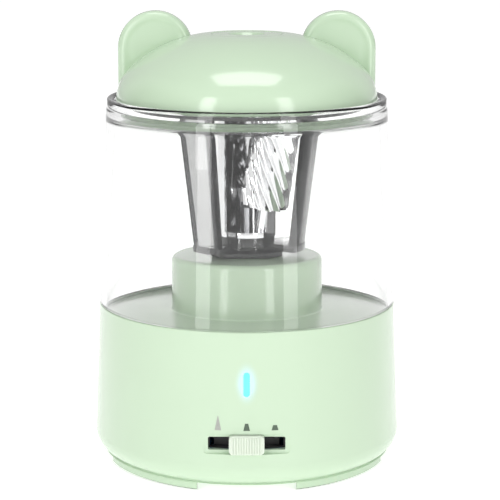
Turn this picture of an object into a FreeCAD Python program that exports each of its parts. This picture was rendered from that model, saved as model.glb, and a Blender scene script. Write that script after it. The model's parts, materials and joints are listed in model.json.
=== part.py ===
import FreeCAD
import Part
import Sketcher

import math
import os
import re

# Electric pencil sharpener: a round base with motor, battery and tip stop, a clear
# shavings bin, and a domed cap that carries the rotating cutter head.
# Millimetres. +Z is up, the front faces -Y, and the origin is the middle of the underside.

SIZES = {
    # base shell and bottom plate
    "base_radius": 42.0,
    "seam_taper": 1.5,
    "seam_height": 43.4,
    "corner_radius": 5.6,
    "shell_wall": 2.4,
    "foot_height": 2.4,
    "foot_width": 4.0,
    "foot_gap": 26.0,
    "pad_recess": 0.8,
    "pad_proud": 0.4,
    "pad_inset": 0.8,
    "plate_inset": 3.1,
    "plate_thickness": 2.0,
    "slide_fit": 0.15,
    "post_inset": 7.9,
    "post_radius": 2.75,
    # deck and turret
    "deck_thickness": 2.0,
    "deck_drop": 0.6,
    "deck_rim": 3.0,
    "turret_radius": 20.47,
    "turret_height": 14.5,
    "turret_wall": 2.0,
    "turret_fillet": 1.5,
    # clear bin
    "bin_height": 54.3,
    "bin_taper": 2.4,
    "bin_wall": 2.35,
    "bin_shoulder": 4.5,
    "bin_lip": 1.6,
    "tongue_depth": 3.2,
    "tongue_wall": 0.8,
    # cap
    "rim_inset": 2.8,
    "rim_band": 0.5,
    "rim_fit": 0.3,
    "cap_wall": 2.4,
    "corner_arc": 12.0,
    "crown_arc": 34.0,
    "corner_sweep": 46.5,
    "dish_radius": 10.2,
    "dish_depth": 0.9,
    "ear_radius": 10.2,
    "ear_back": 5.5,
    "ear_thickness": 6.0,
    "ear_height": 24.2,
    "ear_rounding": 1.8,
    "head_plate_thickness": 2.0,
    "boss_wall": 2.2,
    # cutter head
    "pencil_bore": 8.4,
    "guide_wall": 2.0,
    "taper": 0.2,
    "tip_above_turret": 14.5,
    "cutter_radius": 6.5,
    "cutter_clearance": 0.45,
    "flute_depth": 0.9,
    "flutes": 14,
    "helix_angle": 30.0,
    "cutter_azimuth": -42.0,
    "neck_radius": 3.2,
    "axle_radius": 1.75,
    "running_fit": 0.05,
    "ring_teeth": 35,
    "pinion_teeth": 10,
    "ring_face": 3.6,
    "carrier_thickness": 1.8,
    "sleeve_radius": 7.95,
    "sleeve_wall": 0.85,
    "window_start": -140.0,
    "window_sweep": 94.0,
    "window_sill": 1.4,
    "guard_wall": 1.8,
    "guard_foot_radius": 15.8,
    "guard_right_start": -38.0,
    "guard_right_sweep": 70.0,
    "guard_left_start": 205.0,
    "guard_left_sweep": 38.0,
    "hub_radius": 7.6,
    "hub_height": 3.6,
    "web_thickness": 1.8,
    "drive_plate_width": 19.0,
    "drive_plate_chamfer": 2.9,
    "drive_plate_thickness": 1.3,
    "dog_flats": 8.0,
    "dog_height": 2.8,
    "gap": 0.2,
    # motor and gear train
    "spindle_radius": 3.8,
    "spindle_bore": 3.4,
    "bush_wall": 1.5,
    "motor_radius": 12.1,
    "motor_length": 27.0,
    "motor_clearance": 0.5,
    "motor_floor": 1.1,
    "motor_wall": 0.8,
    "shaft_radius": 1.0,
    "gear_plate_thickness": 1.5,
    "first_module": 0.5,
    "motor_teeth": 9,
    "idler_teeth": 30,
    "second_module": 0.6,
    "idler_pinion_teeth": 10,
    "output_teeth": 36,
    "gear_width": 2.4,
    "backlash": 0.06,
    # tip stop and its selector
    "rod_radius": 1.5,
    "rod_travel": 1.0,
    "collar_radius": 2.3,
    "selector_travel": 6.3,
    "tip_step": 1.2,
    "knob_width": 9.15,
    "knob_height": 5.0,
    "knob_centre": 14.0,
    "knob_proud": 1.3,
    "knob_rounding": 1.1,
    "recess_height": 5.4,
    "recess_depth": 1.8,
    "slot_height": 3.5,
    "stem_width": 6.0,
    "stem_height": 3.1,
    "pin_height": 16.5,
    "yoke_base": 19.0,
    "yoke_thickness": 3.0,
    "guide_post_radius": 1.5,
    "guide_post_spread": 9.0,
    # electrics
    "cell_radius": 8.25,
    "cell_length": 34.5,
    "cell_gap": 1.65,
    "cell_forward": 6.0,
    "board_thickness": 1.2,
    "board_inset": 6.0,
    "lens_width": 1.65,
    "lens_height": 6.4,
    "lens_bottom": 26.6,
    "port_width": 9.0,
    "port_height": 3.2,
    "port_wall": 0.4,
    "port_bottom": 9.6,
}

doc = FreeCAD.newDocument("PencilSharpener")
sheet = doc.addObject("Spreadsheet::Sheet", "Sizes")
for row, (alias, value) in enumerate(SIZES.items(), start=1):
    sheet.set(f"A{row}", alias)
    sheet.set(f"B{row}", str(value))
    sheet.setAlias(f"B{row}", alias)
doc.recompute()

# Radii that follow from the driving sizes, from the outside in.
SEAM_RADIUS = "(base_radius - seam_taper)"
PLATE_RADIUS = "(base_radius - plate_inset)"
SHELL_INNER = "(base_radius - shell_wall)"
TONGUE_OUTER = f"({SEAM_RADIUS} - 1.35)"
TONGUE_INNER = f"({TONGUE_OUTER} - tongue_wall)"
DECK_RADIUS = f"({TONGUE_INNER} - slide_fit)"
BIN_TOP_RADIUS = f"({SEAM_RADIUS} - bin_taper)"
RIM_RADIUS = f"({BIN_TOP_RADIUS} - rim_inset)"
MOUTH_RADIUS = f"({RIM_RADIUS} - 2.3)"
SPIGOT_RADIUS = f"({MOUTH_RADIUS} - rim_fit)"
TURRET_BORE = "(turret_radius - turret_wall)"
HEAD_CIRCLE = f"({SPIGOT_RADIUS} - 4.2)"
GUIDE_RADIUS = "(pencil_bore / 2 + guide_wall)"
POST_CIRCLE = f"({PLATE_RADIUS} - post_inset)"
RECESS_FLOOR = "(base_radius - recess_depth)"
EAR_ACROSS = f"({RIM_RADIUS} - ear_radius - 0.3)"

# Levels, from the table up.
PLATE_TOP = "(foot_height + plate_thickness)"
MOTOR_BASE = f"({PLATE_TOP} + motor_floor)"
GEAR_PLATE_BASE = f"({MOTOR_BASE} + motor_length)"
GEAR_PLATE_TOP = f"({GEAR_PLATE_BASE} + gear_plate_thickness)"
IDLER_BASE = f"({GEAR_PLATE_TOP} + 0.8)"
OUTPUT_BASE = f"({IDLER_BASE} + gear_width + 0.4)"
DECK_TOP = "(seam_height - deck_drop)"
DECK_UNDER = f"({DECK_TOP} - deck_thickness)"
LEDGE = f"({DECK_TOP} - deck_rim)"
TURRET_TOP = f"({DECK_TOP} + turret_height)"
DRIVE_BASE = f"({TURRET_TOP} + gap)"
DOG_BASE = f"({DRIVE_BASE} + drive_plate_thickness)"
HUB_BASE = f"({DOG_BASE} + gap)"
HUB_TOP = f"({HUB_BASE} + hub_height)"
TIP = f"({TURRET_TOP} + tip_above_turret)"
RIM = "(seam_height + bin_height)"
DISC_TOP = f"({RIM} - 0.6)"
DISC_BASE = f"({DISC_TOP} - carrier_thickness)"
RING_BASE = f"({RIM} + 0.6)"
RING_TOP = f"({RING_BASE} + ring_face)"
BRIDGE_BASE = f"({RING_TOP} + 1.4)"
BRIDGE_TOP = f"({BRIDGE_BASE} + 2)"
BUSH_BASE = f"({BRIDGE_TOP} + 0.6)"
BUSH_TOP = f"({BUSH_BASE} + 4)"
GUIDE_TOP = f"({BUSH_TOP} + 1.4)"

# The bevel pair: both pitch cones meet at the apex, where the cutter's axis crosses Z.
APEX = f"({TIP} - cutter_radius / taper)"
LEAN = "atan(taper)"
PINION_CONE = f"atan(sin({LEAN}) / (ring_teeth / pinion_teeth - cos({LEAN})))"
RING_CONE = f"({LEAN} + {PINION_CONE})"
RING_RADIUS = f"(({RING_BASE} - {APEX}) * tan({RING_CONE}))"
CARRIER_RADIUS = f"({RING_RADIUS} + 3.8)"
RING_OUTER = f"({RING_RADIUS} + 6)"

# The gear train's centres.
FIRST_CENTRES = "((motor_teeth + idler_teeth) * first_module / 2)"
SECOND_CENTRES = "((idler_pinion_teeth + output_teeth) * second_module / 2)"
MOTOR_OFFSET = "(motor_radius + collar_radius + 0.9 + motor_clearance)"
MOTOR_BACK = f"({MOTOR_OFFSET} + motor_radius)"
IDLER_Y = f"(({MOTOR_OFFSET} ^ 2 + {SECOND_CENTRES} ^ 2 - {FIRST_CENTRES} ^ 2) / (2 * {MOTOR_OFFSET}))"
IDLER_X = f"sqrt({SECOND_CENTRES} ^ 2 - {IDLER_Y} ^ 2)"

nodes = {}


def bound(text):
    """The expression with each named size read from the sheet."""
    return re.sub(r"\b[a-z][a-z_]*\b(?!\()", lambda word: "Sizes." + word.group(0), str(text))


def number(text):
    """The value of an expression in the sheet's sizes."""
    return FreeCAD.Units.Quantity(sheet.evalExpression(str(text))).Value


def sub_part(label, item):
    """Name the sub-part: its label is its node."""
    item.Label = label
    nodes[label] = item
    return item


def tie(item, **expressions):
    """Bind properties to expressions. Two underscores stand for a dot."""
    for prop, text in expressions.items():
        item.setExpression(prop.replace("__", "."), bound(text))
    return item


def put(item, x, y, z):
    return tie(item, Placement__Base__x=x, Placement__Base__y=y, Placement__Base__z=z)


def cylinder(radius, base, top, x=0, y=0):
    item = tie(doc.addObject("Part::Cylinder", "Cylinder"), Radius=radius, Height=f"{top} - ({base})")
    return put(item, x, y, base)


def cone(low, high, base, top):
    item = tie(doc.addObject("Part::Cone", "Cone"), Radius1=low, Radius2=high)
    return put(tie(item, Height=f"{top} - ({base})"), 0, 0, base)


def cross_cylinder(radius, x, z, front, back):
    """A cylinder along Y."""
    item = tie(doc.addObject("Part::Cylinder", "CrossCylinder"), Radius=radius)
    tie(item, Height=f"{back} - ({front})")
    item.Placement.Rotation = FreeCAD.Rotation(FreeCAD.Vector(1, 0, 0), -90)
    return put(item, x, front, z)


def box(x, y, z, width, depth, height):
    """A box with its middle at x and y, standing on z."""
    item = doc.addObject("Part::Box", "Box")
    tie(item, Length=width, Width=depth, Height=height)
    return put(item, f"{x} - ({width}) / 2", f"{y} - ({depth}) / 2", z)


def prism(sides, flats, base, top):
    """A regular prism about Z, measured across its flats."""
    item = doc.addObject("Part::Prism", "Prism")
    item.Polygon = sides
    tie(item, Circumradius=f"({flats}) / 2 / cos({180 / sides})", Height=f"{top} - ({base})")
    return put(item, 0, 0, base)


def fuse(*items):
    item = doc.addObject("Part::MultiFuse", "Fuse")
    item.Shapes = list(items)
    return item


def cut(base, *tools):
    item = doc.addObject("Part::Cut", "Cut")
    item.Base = base
    item.Tool = tools[0] if len(tools) == 1 else fuse(*tools)
    return item


def common(base, tool):
    item = doc.addObject("Part::Common", "Common")
    item.Base = base
    item.Tool = tool
    return item


def group(*items):
    """Separate solids that share one node."""
    item = doc.addObject("Part::Compound", "Group")
    item.Links = list(items)
    return item


def ring(outer, inner, base, top, x=0, y=0):
    bore = cylinder(inner, f"{base} - 1", f"{top} + 1", x, y)
    return cut(cylinder(outer, base, top, x, y), bore)


def sector(start, sweep, base, top):
    """A wide pie slice about Z that cuts rings into arcs."""
    item = tie(cylinder("2 * base_radius", base, top), Angle=sweep)
    item.Placement.Rotation = FreeCAD.Rotation(number(start), 0, 0)
    return item


def around(count, radius, first, make):
    """Items made at equal angles on a circle, from the first angle in degrees."""
    turns = [first + 360 * index / count for index in range(count)]
    return [make(f"({radius}) * cos({turn})", f"({radius}) * sin({turn})") for turn in turns]


def screw(x, y, head_base, head_height, head_radius, shank_radius, length):
    """A screw that points up, with its head at the bottom."""
    shoulder = f"{head_base} + {head_height}"
    head = cylinder(head_radius, head_base, shoulder, x, y)
    return fuse(head, cylinder(shank_radius, shoulder, f"{shoulder} + {length}", x, y))


def leaning(item, height=APEX):
    """Lay a part made about +Z onto the cutter's axis, its zero at this height on Z."""
    turn = FreeCAD.Rotation(FreeCAD.Vector(0, 0, 1), number("cutter_azimuth"))
    lean = FreeCAD.Rotation(FreeCAD.Vector(0, 1, 0), number(LEAN))
    item.Placement = FreeCAD.Placement(FreeCAD.Vector(0, 0, number(height)), turn.multiply(lean))
    return item


def along(height):
    """Distance from the apex of the point of the cutter's axis at this height."""
    return f"(({height} - {APEX}) / cos({LEAN}))"


def leaning_cylinder(radius, low, high):
    """A cylinder on the cutter's axis, between two distances from the apex."""
    item = doc.addObject("Part::Feature", "LeaningCylinder")
    length = number(high) - number(low)
    item.Shape = Part.makeCylinder(number(radius), length, FreeCAD.Vector(0, 0, number(low)))
    return leaning(item)


def end_at(sketch, index, point):
    """Which end of a sketch edge is at the point: 1 is its start, 2 its end."""
    start, end = sketch.getPoint(index, 1), sketch.getPoint(index, 2)
    return 1 if start.distanceToPoint(point) < end.distanceToPoint(point) else 2


def turned(label, corners):
    """A body revolved about Z. A corner is (radius, height); a third value is the radius of the
    arc that comes to it, which bulges to the right of the way from corner to corner."""
    item = doc.addObject("PartDesign::Body", label)
    plane = next(p for p in item.Origin.OriginFeatures if p.Role == "XZ_Plane")
    sketch = item.newObject("Sketcher::SketchObject", label + "_profile")
    sketch.AttachmentSupport = [(plane, "")]
    sketch.MapMode = "FlatFace"
    points = [FreeCAD.Vector(number(corner[0]), number(corner[1]), 0) for corner in corners]
    for index, corner in enumerate(corners):
        start, end = points[index - 1], points[index]
        if len(corner) == 2:
            sketch.addGeometry(Part.LineSegment(start, end), False)
            continue
        radius, chord = number(corner[2]), end - start
        side = FreeCAD.Vector(chord.y, -chord.x, 0).normalize()
        rise = radius - math.sqrt(radius ** 2 - (chord.Length / 2) ** 2)
        middle = (start + end) * 0.5 + side * rise
        sketch.addGeometry(Part.Arc(start, middle, end), False)
    for index, corner in enumerate(corners):
        after = (index + 1) % len(corners)
        here = end_at(sketch, index, points[index])
        there = end_at(sketch, after, points[index])
        sketch.addConstraint(Sketcher.Constraint("Coincident", index, here, after, there))
        for kind, axis, text in (("DistanceX", -2, corner[0]), ("DistanceY", -1, corner[1])):
            if text == 0:
                sketch.addConstraint(Sketcher.Constraint("PointOnObject", index, here, axis))
                continue
            size = Sketcher.Constraint(kind, -1, 1, index, here, number(text))
            sketch.setExpression(f"Constraints[{sketch.addConstraint(size)}]", bound(text))
        if len(corner) == 3:
            size = Sketcher.Constraint("Radius", index, number(corner[2]))
            sketch.setExpression(f"Constraints[{sketch.addConstraint(size)}]", bound(corner[2]))
    revolution = item.newObject("PartDesign::Revolution", label + "_revolution")
    revolution.Profile = sketch
    revolution.ReferenceAxis = (sketch, ["V_Axis"])
    revolution.Angle = 360
    return item


def tooth_outline(teeth, module, tip, root, slack, turn=0.0):
    """Corners of a gear with involute flanks. Slack thins each tooth, measured along the pitch
    circle, and turn is the angle of the first tooth in radians."""
    pressure = math.radians(20)
    pitch = teeth * module / 2
    base = pitch * math.cos(pressure)
    involute = math.tan(pressure) - pressure
    start, end = max(base, pitch - root), pitch + tip

    def half_angle(radius):
        roll = math.acos(min(1.0, base / radius))
        return math.pi / (2 * teeth) - slack / (2 * pitch) + involute - math.tan(roll) + roll

    steps = 3
    flank = [start + (end - start) * step / steps for step in range(steps + 1)]
    side = [(radius, half_angle(radius)) for radius in flank]
    if pitch - root < base:
        side.insert(0, (pitch - root, half_angle(base)))
    corners = []
    for tooth in range(teeth):
        middle = turn + 2 * math.pi * tooth / teeth
        corners += [(radius, middle - angle) for radius, angle in side]
        corners += [(radius, middle + angle) for radius, angle in reversed(side)]
    return [FreeCAD.Vector(r * math.cos(a), r * math.sin(a), 0) for r, a in corners]


def outline_wire(corners, scale, height):
    raised = [corner * scale + FreeCAD.Vector(0, 0, height) for corner in corners]
    return Part.makePolygon(raised + raised[:1])


def spur_gear(teeth, module, width, turn):
    """A spur gear standing on z = 0, with the train's tooth proportions."""
    outline = tooth_outline(teeth, module, 0.75 * module, 1.15 * module, number("backlash"), turn)
    return Part.Face(outline_wire(outline, 1, 0)).extrude(FreeCAD.Vector(0, 0, width))


def bevel_blank(outline, low, high):
    """The outline, drawn at distance 1 from the apex, as a tooth cone between two distances."""
    wires = [outline_wire(outline, distance, distance) for distance in (low, high)]
    return Part.makeLoft(wires, True, True)


def shaped(name, shape, base=(0, 0, 0)):
    """An object that holds a computed shape, placed after its shape is set."""
    item = doc.addObject("Part::Feature", name)
    item.Shape = shape
    item.Placement.Base = FreeCAD.Vector(*(number(value) for value in base))
    return item


def rounded(item, radius, chosen):
    """Round the edges for which chosen(edge) is true."""
    doc.recompute()
    fillet = doc.addObject("Part::Fillet", "Rounded")
    fillet.Base = item
    size = number(radius)
    edges = enumerate(item.Shape.Edges, start=1)
    fillet.Edges = [(index, size, size) for index, edge in edges if chosen(edge)]
    return fillet


# ---- base: shell, bottom plate, feet ----

def feet_arcs(outer, inner, base, top):
    """Four arcs, with gaps at the front, back and sides."""
    tall = f"{top} - ({base}) + 2"
    along_x = box(0, 0, f"{base} - 1", "3 * base_radius", "foot_gap", tall)
    along_y = box(0, 0, f"{base} - 1", "foot_gap", "3 * base_radius", tall)
    return cut(ring(outer, inner, base, top), along_x, along_y)


def base_shell():
    """Round wall with a rounded lower corner, a ledge for the deck and one for the plate."""
    slope = f"(seam_taper / (seam_height - foot_height - corner_radius))"
    shelf = f"({DECK_RADIUS} - 1.6)"
    wall = turned("shell_wall_body", [
        (f"{PLATE_RADIUS} + slide_fit", "foot_height"),
        ("base_radius - 2.3", "foot_height"),
        ("base_radius", "foot_height + corner_radius", "corner_radius + 1.2"),
        (SEAM_RADIUS, "seam_height"),
        (f"{TONGUE_OUTER} + slide_fit", "seam_height"),
        (f"{TONGUE_OUTER} + slide_fit", LEDGE),
        (shelf, LEDGE),
        (shelf, f"{LEDGE} - 1.5"),
        (f"{SEAM_RADIUS} - shell_wall + 6.5 * {slope}", f"{LEDGE} - 3.4"),
        (SHELL_INNER, f"{PLATE_TOP} + 4"),
        (f"{PLATE_RADIUS} - 1.4", f"{PLATE_TOP} + 2"),
        (f"{PLATE_RADIUS} - 1.4", PLATE_TOP),
        (f"{PLATE_RADIUS} + slide_fit", PLATE_TOP),
    ])
    pads = [box(f"{side} * (selector_travel + 4.5)", f"-({SHELL_INNER} - 1.65)", "knob_centre - 4.5",
                1.6, 1.7, 9) for side in (-1, 1)]
    recess = box(0, f"-{RECESS_FLOOR} - 2", "knob_centre - recess_height / 2",
                 "2 * selector_travel + knob_width + 0.35", 4, "recess_height")
    slot = box(0, f"-{SHELL_INNER}", "knob_centre - slot_height / 2",
               "2 * selector_travel + stem_width + 1.4", 8, "slot_height")
    port = box(0, SHELL_INNER, "port_bottom - 0.1", "port_width + 0.2", 8, "port_height + 0.2")
    return sub_part("base_shell", cut(fuse(wall, *pads), recess, slot, port, lens_shape()))


def lens_shape():
    """The light slot: an upright bar with round ends, from the shell's face inwards."""
    front = f"(-(base_radius - 0.87))"
    low = "lens_bottom + lens_width / 2"
    high = "lens_bottom + lens_height - lens_width / 2"
    middle = box(0, f"{front} + 1.5", low, "lens_width", 3, "lens_height - lens_width")
    ends = [cross_cylinder("lens_width / 2", 0, z, front, f"{front} + 3") for z in (low, high)]
    return fuse(middle, *ends)


def plate_screw_shapes():
    """Four screws, from the bottom plate up into the deck's posts."""
    return around(4, POST_CIRCLE, 45, lambda x, y: screw(x, y, "foot_height", 1, 2, 1, 9))


def pad_arcs():
    outer, inner = f"{PLATE_RADIUS} - pad_inset", f"{PLATE_RADIUS} - foot_width + pad_inset"
    return feet_arcs(outer, inner, 0, "pad_proud + pad_recess")


def bottom_plate():
    """Round plate with foot arcs below, and a ring round the motor and port ribs above."""
    plate = cylinder(PLATE_RADIUS, "foot_height", PLATE_TOP)
    feet = feet_arcs(PLATE_RADIUS, f"{PLATE_RADIUS} - foot_width", "pad_proud", "foot_height")
    motor_ring = ring("motor_radius + 1.8", "motor_radius + gap", PLATE_TOP, f"{PLATE_TOP} + 4",
                      0, MOTOR_OFFSET)
    front, back = f"({MOTOR_BACK} + 1.9)", f"({SHELL_INNER} - 3.8)"
    ribs = [box(x, f"({front} + {back}) / 2", PLATE_TOP, 1.5, f"{back} - {front}",
                f"port_bottom - 1.2 - {PLATE_TOP}") for x in (-5.5, 5.5)]
    body = fuse(plate, feet, motor_ring, *ribs)
    sub_part("bottom_plate", cut(body, pad_arcs(), *plate_screw_shapes()))


def deck_turret():
    """Flat deck in the shell's rim, and the closed turret that carries the spindle's bush."""
    profile = turned("deck_profile_body", [
        (f"{DECK_RADIUS} - 1.5", LEDGE),
        (DECK_RADIUS, LEDGE),
        (DECK_RADIUS, DECK_TOP),
        ("turret_radius", DECK_TOP),
        ("turret_radius", f"{TURRET_TOP} - turret_fillet"),
        ("turret_radius - turret_fillet", TURRET_TOP, "turret_fillet"),
        ("spindle_radius + bush_wall + 0.5", TURRET_TOP),
        ("spindle_radius + bush_wall + 0.5", f"{TURRET_TOP} - turret_wall"),
        (TURRET_BORE, f"{TURRET_TOP} - turret_wall"),
        (TURRET_BORE, DECK_UNDER),
        (f"{DECK_RADIUS} - 1.5", DECK_UNDER),
    ])
    posts = around(4, POST_CIRCLE, 45, lambda x, y: cylinder("post_radius", PLATE_TOP,
                                                            f"{DECK_UNDER} + 0.5", x, y))
    standoffs = [cylinder(2, GEAR_PLATE_TOP, f"{DECK_UNDER} + 0.5", x, y)
                 for x, y in gear_plate_corners()]
    rails = [box(x, f"-({SHELL_INNER} - board_inset - 0.6)", f"{DECK_UNDER} - 10", 1.4, 2, 10.5)
             for x in (-11.7, 11.7)]
    body = fuse(profile, *posts, *standoffs, *rails)
    sub_part("deck_turret", cut(body, *plate_screw_shapes(), *gear_plate_screw_shapes()))


def gear_plate_corners():
    """The three places where the gear plate hangs from the deck."""
    beside, behind = "(1.1 - motor_radius)", f"({MOTOR_BACK} - 2.4)"
    return ((beside, behind), ("15.5", behind), ("16", "-13"))


def gear_plate_screw_shapes():
    return [screw(x, y, f"{GEAR_PLATE_BASE} - 1", 1, 1.8, 0.8, 5) for x, y in gear_plate_corners()]


# ---- base: drive ----

def motor():
    """Can with magnets, a rotor on its shaft, and an end cap."""
    y = MOTOR_OFFSET
    top = GEAR_PLATE_BASE
    low = f"({MOTOR_BASE} + 2.5)"
    inner = "(motor_radius - motor_wall)"
    can = fuse(cylinder("motor_radius", low, top, 0, y),
               cylinder("3 * shaft_radius", top, GEAR_PLATE_TOP, 0, y))
    hollow = cylinder(inner, f"{low} - 1", f"{top} - 1", 0, y)
    bore = cylinder("shaft_radius + running_fit", low, f"{GEAR_PLATE_TOP} + 1", 0, y)
    screws = motor_screw_shapes()
    sub_part("motor_can", cut(can, hollow, bore, *screws))
    sides = cut(ring(inner, f"{inner} - 1.4", f"{low} + 3", f"{top} - 4", 0, y),
                box(0, y, low, 6, 40, "motor_length"))
    sub_part("motor_magnets", sides)
    cap = fuse(cylinder("motor_radius", MOTOR_BASE, low, 0, y),
               cylinder(inner, low, f"{low} + 1.5", 0, y))
    end_bore = cylinder("shaft_radius + running_fit", MOTOR_BASE, f"{low} + 2", 0, y)
    sub_part("motor_end_cap", cut(cap, end_bore))
    shaft_top = f"({IDLER_BASE} + gear_width)"
    shaft = cylinder("shaft_radius", f"{MOTOR_BASE} + 0.5", shaft_top, 0, y)
    armature = cylinder(f"{inner} - 1.8", f"{low} + 4", f"{top} - 5", 0, y)
    sub_part("motor_rotor", fuse(shaft, armature))
    sub_part("motor_screws", group(*screws))


def motor_screw_shapes():
    """Two screws down through the gear plate into the motor's face, with sunk heads."""
    shapes = []
    for side in (-1, 1):
        x, y = f"{side} * 6.9", f"{MOTOR_OFFSET} + {side} * 4"
        head = cylinder(1.8, f"{GEAR_PLATE_TOP} - 0.7", GEAR_PLATE_TOP, x, y)
        shapes.append(fuse(head, cylinder(0.9, f"{GEAR_PLATE_BASE} - 1", f"{GEAR_PLATE_TOP} - 0.7", x, y)))
    return shapes


def gear_plate():
    """Steel plate over the motor that sets the gear centres."""
    left, right, low, high = "(-motor_radius - 0.9)", "18", "(-15.5)", f"({MOTOR_BACK} + 0.1)"
    plate = box(f"({left} + {right}) / 2", f"({low} + {high}) / 2", GEAR_PLATE_BASE,
                f"{right} - {left}", f"{high} - {low}", "gear_plate_thickness")
    plate = rounded(plate, 3, lambda edge: abs(edge.tangentAt(edge.FirstParameter).z) > 0.99)
    under, over = f"{GEAR_PLATE_BASE} - 1", f"{GEAR_PLATE_TOP} + 1"
    holes = [
        cylinder("3 * shaft_radius", under, over, 0, MOTOR_OFFSET),
        cylinder("spindle_radius + bush_wall", under, over),
        cylinder("shaft_radius", under, over, IDLER_X, IDLER_Y),
    ]
    sub_part("gear_plate", cut(plate, *holes, *motor_screw_shapes(), *gear_plate_screw_shapes()))
    sub_part("gear_plate_screws", group(*gear_plate_screw_shapes()))
    axle_top = f"({OUTPUT_BASE} + gear_width + 1)"
    sub_part("idler_axle", cylinder("shaft_radius", GEAR_PLATE_BASE, axle_top, IDLER_X, IDLER_Y))


def bushes():
    """Plain bushes for the spindle, in the gear plate and in the turret's roof."""
    outer, bore = "(spindle_radius + bush_wall)", "(spindle_radius + running_fit)"
    flange_top = f"({GEAR_PLATE_TOP} + 0.6)"
    lower = fuse(cylinder(outer, GEAR_PLATE_BASE, GEAR_PLATE_TOP),
                 cylinder(f"{outer} + 0.9", GEAR_PLATE_TOP, flange_top))
    sub_part("spindle_lower_bush", cut(lower, cylinder(bore, MOTOR_BASE, TURRET_TOP)))
    roof = f"({TURRET_TOP} - turret_wall)"
    upper = fuse(cylinder(f"{outer} + 0.5", roof, TURRET_TOP),
                 cylinder(f"{outer} + 2", f"{roof} - 2", roof))
    sub_part("spindle_upper_bush", cut(upper, cylinder(bore, MOTOR_BASE, f"{TURRET_TOP} + 1")))


def gear_train():
    """Motor pinion, idler with two gears, and the spindle's output gear."""
    first, second = number("first_module"), number("second_module")
    width = number("gear_width")
    idler_x, idler_y, motor_y = number(IDLER_X), number(IDLER_Y), number(MOTOR_OFFSET)
    to_idler = math.atan2(idler_y - motor_y, idler_x)
    to_spindle = math.atan2(-idler_y, -idler_x)
    pinion_teeth, idler_teeth = int(number("motor_teeth")), int(number("idler_teeth"))
    small_teeth, output_teeth = int(number("idler_pinion_teeth")), int(number("output_teeth"))

    def bore(shape, radius):
        return shape.cut(Part.makeCylinder(radius, 60, FreeCAD.Vector(0, 0, -30)))

    pinion = spur_gear(pinion_teeth, first, width, to_idler)
    pinion = bore(pinion, number("shaft_radius"))
    sub_part("motor_pinion", shaped("Pinion", pinion, (0, MOTOR_OFFSET, IDLER_BASE)))

    large = spur_gear(idler_teeth, first, width, to_idler + math.pi + math.pi / idler_teeth)
    rise = number(OUTPUT_BASE) - number(IDLER_BASE)
    small = spur_gear(small_teeth, second, rise, to_spindle)
    small.translate(FreeCAD.Vector(0, 0, width))
    both = bore(large.fuse(small), number("shaft_radius + running_fit"))
    sub_part("idler_gear", shaped("Idler", both, (IDLER_X, IDLER_Y, IDLER_BASE)))

    output = spur_gear(output_teeth, second, width, to_spindle + math.pi + math.pi / output_teeth)
    hub_drop = number(f"{OUTPUT_BASE} - {GEAR_PLATE_TOP} - 0.7")
    hub = Part.makeCylinder(number("spindle_radius + 1.4"), hub_drop, FreeCAD.Vector(0, 0, -hub_drop))
    output = bore(output.fuse(hub), number("spindle_radius"))
    sub_part("output_gear", shaped("Output", output, (0, 0, OUTPUT_BASE)))


def spindle():
    """Hollow spindle, and the square drive plate with the hexagon dog that turns the cutter head."""
    sub_part("spindle", ring("spindle_radius", "spindle_bore / 2", GEAR_PLATE_BASE, DRIVE_BASE))
    plate = box(0, 0, DRIVE_BASE, "drive_plate_width", "drive_plate_width", "drive_plate_thickness")
    corner = f"((drive_plate_width - 1.414 * drive_plate_chamfer) * 1.414)"
    diamond = box(0, 0, f"{DRIVE_BASE} - 1", corner, corner, 6)
    square = common(plate, turned_about_z(diamond, 45))
    dog = prism(6, "dog_flats", DOG_BASE, f"{DOG_BASE} + dog_height")
    bore = cylinder("spindle_bore / 2", f"{DRIVE_BASE} - 1", HUB_TOP)
    sub_part("drive_plate", cut(fuse(square, dog), bore))


def turned_about_z(item, angle):
    """The item turned about the main axis."""
    holder = doc.addObject("Part::Compound", "Turned")
    holder.Links = [item]
    holder.Placement.Rotation = FreeCAD.Rotation(angle, 0, 0)
    return holder


# ---- base: tip stop and selector ----

def selector():
    """Ribbed knob in the shell's recess, its track, and the slide with the sloping slot."""
    knob_back = f"(-{RECESS_FLOOR} - 0.15)"
    knob_depth = f"(base_radius + knob_proud + {knob_back})"
    grip = box(0, f"{knob_back} - {knob_depth} / 2", "knob_centre - knob_height / 2",
               "knob_width", knob_depth, "knob_height")
    grip = rounded(grip, "knob_rounding", lambda edge: abs(edge.tangentAt(edge.FirstParameter).y) > 0.99)
    slide_front = f"(-({SHELL_INNER} - 4))"
    stem = box(0, f"({knob_back} + {slide_front}) / 2", "knob_centre - stem_height / 2",
               "stem_width", f"{slide_front} - {knob_back}", "stem_height")
    sub_part("selector_knob", fuse(grip, stem))
    slide = box(0, f"{slide_front} + 0.7", "knob_centre - 5", "2 * selector_travel + 4.4", 1.4, 10)
    angle = number("atan(tip_step / selector_travel)")
    slot = doc.addObject("Part::Box", "Slot")
    tie(slot, Length="2 * selector_travel + 2.6", Width=4, Height="2 * shaft_radius + 0.2")
    middle = FreeCAD.Vector(number("selector_travel + 1.3"), 2, number("shaft_radius + 0.1"))
    place = FreeCAD.Vector(0, number(slide_front), number("pin_height"))
    turn = FreeCAD.Rotation(FreeCAD.Vector(0, 1, 0), angle)
    slot.Placement = FreeCAD.Placement(place - middle, turn, middle)
    sub_part("selector_slide", cut(slide, slot))
    track = box(0, f"-({SHELL_INNER} - 3.1)", "knob_centre - 4.5", "2 * selector_travel + 10.4", 1.2, 9)
    opening = box(0, f"-({SHELL_INNER} - 3.1)", "knob_centre - slot_height / 2",
                  "2 * selector_travel + stem_width + 0.6", 4, "slot_height")
    sub_part("selector_track", cut(track, opening))


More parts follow.
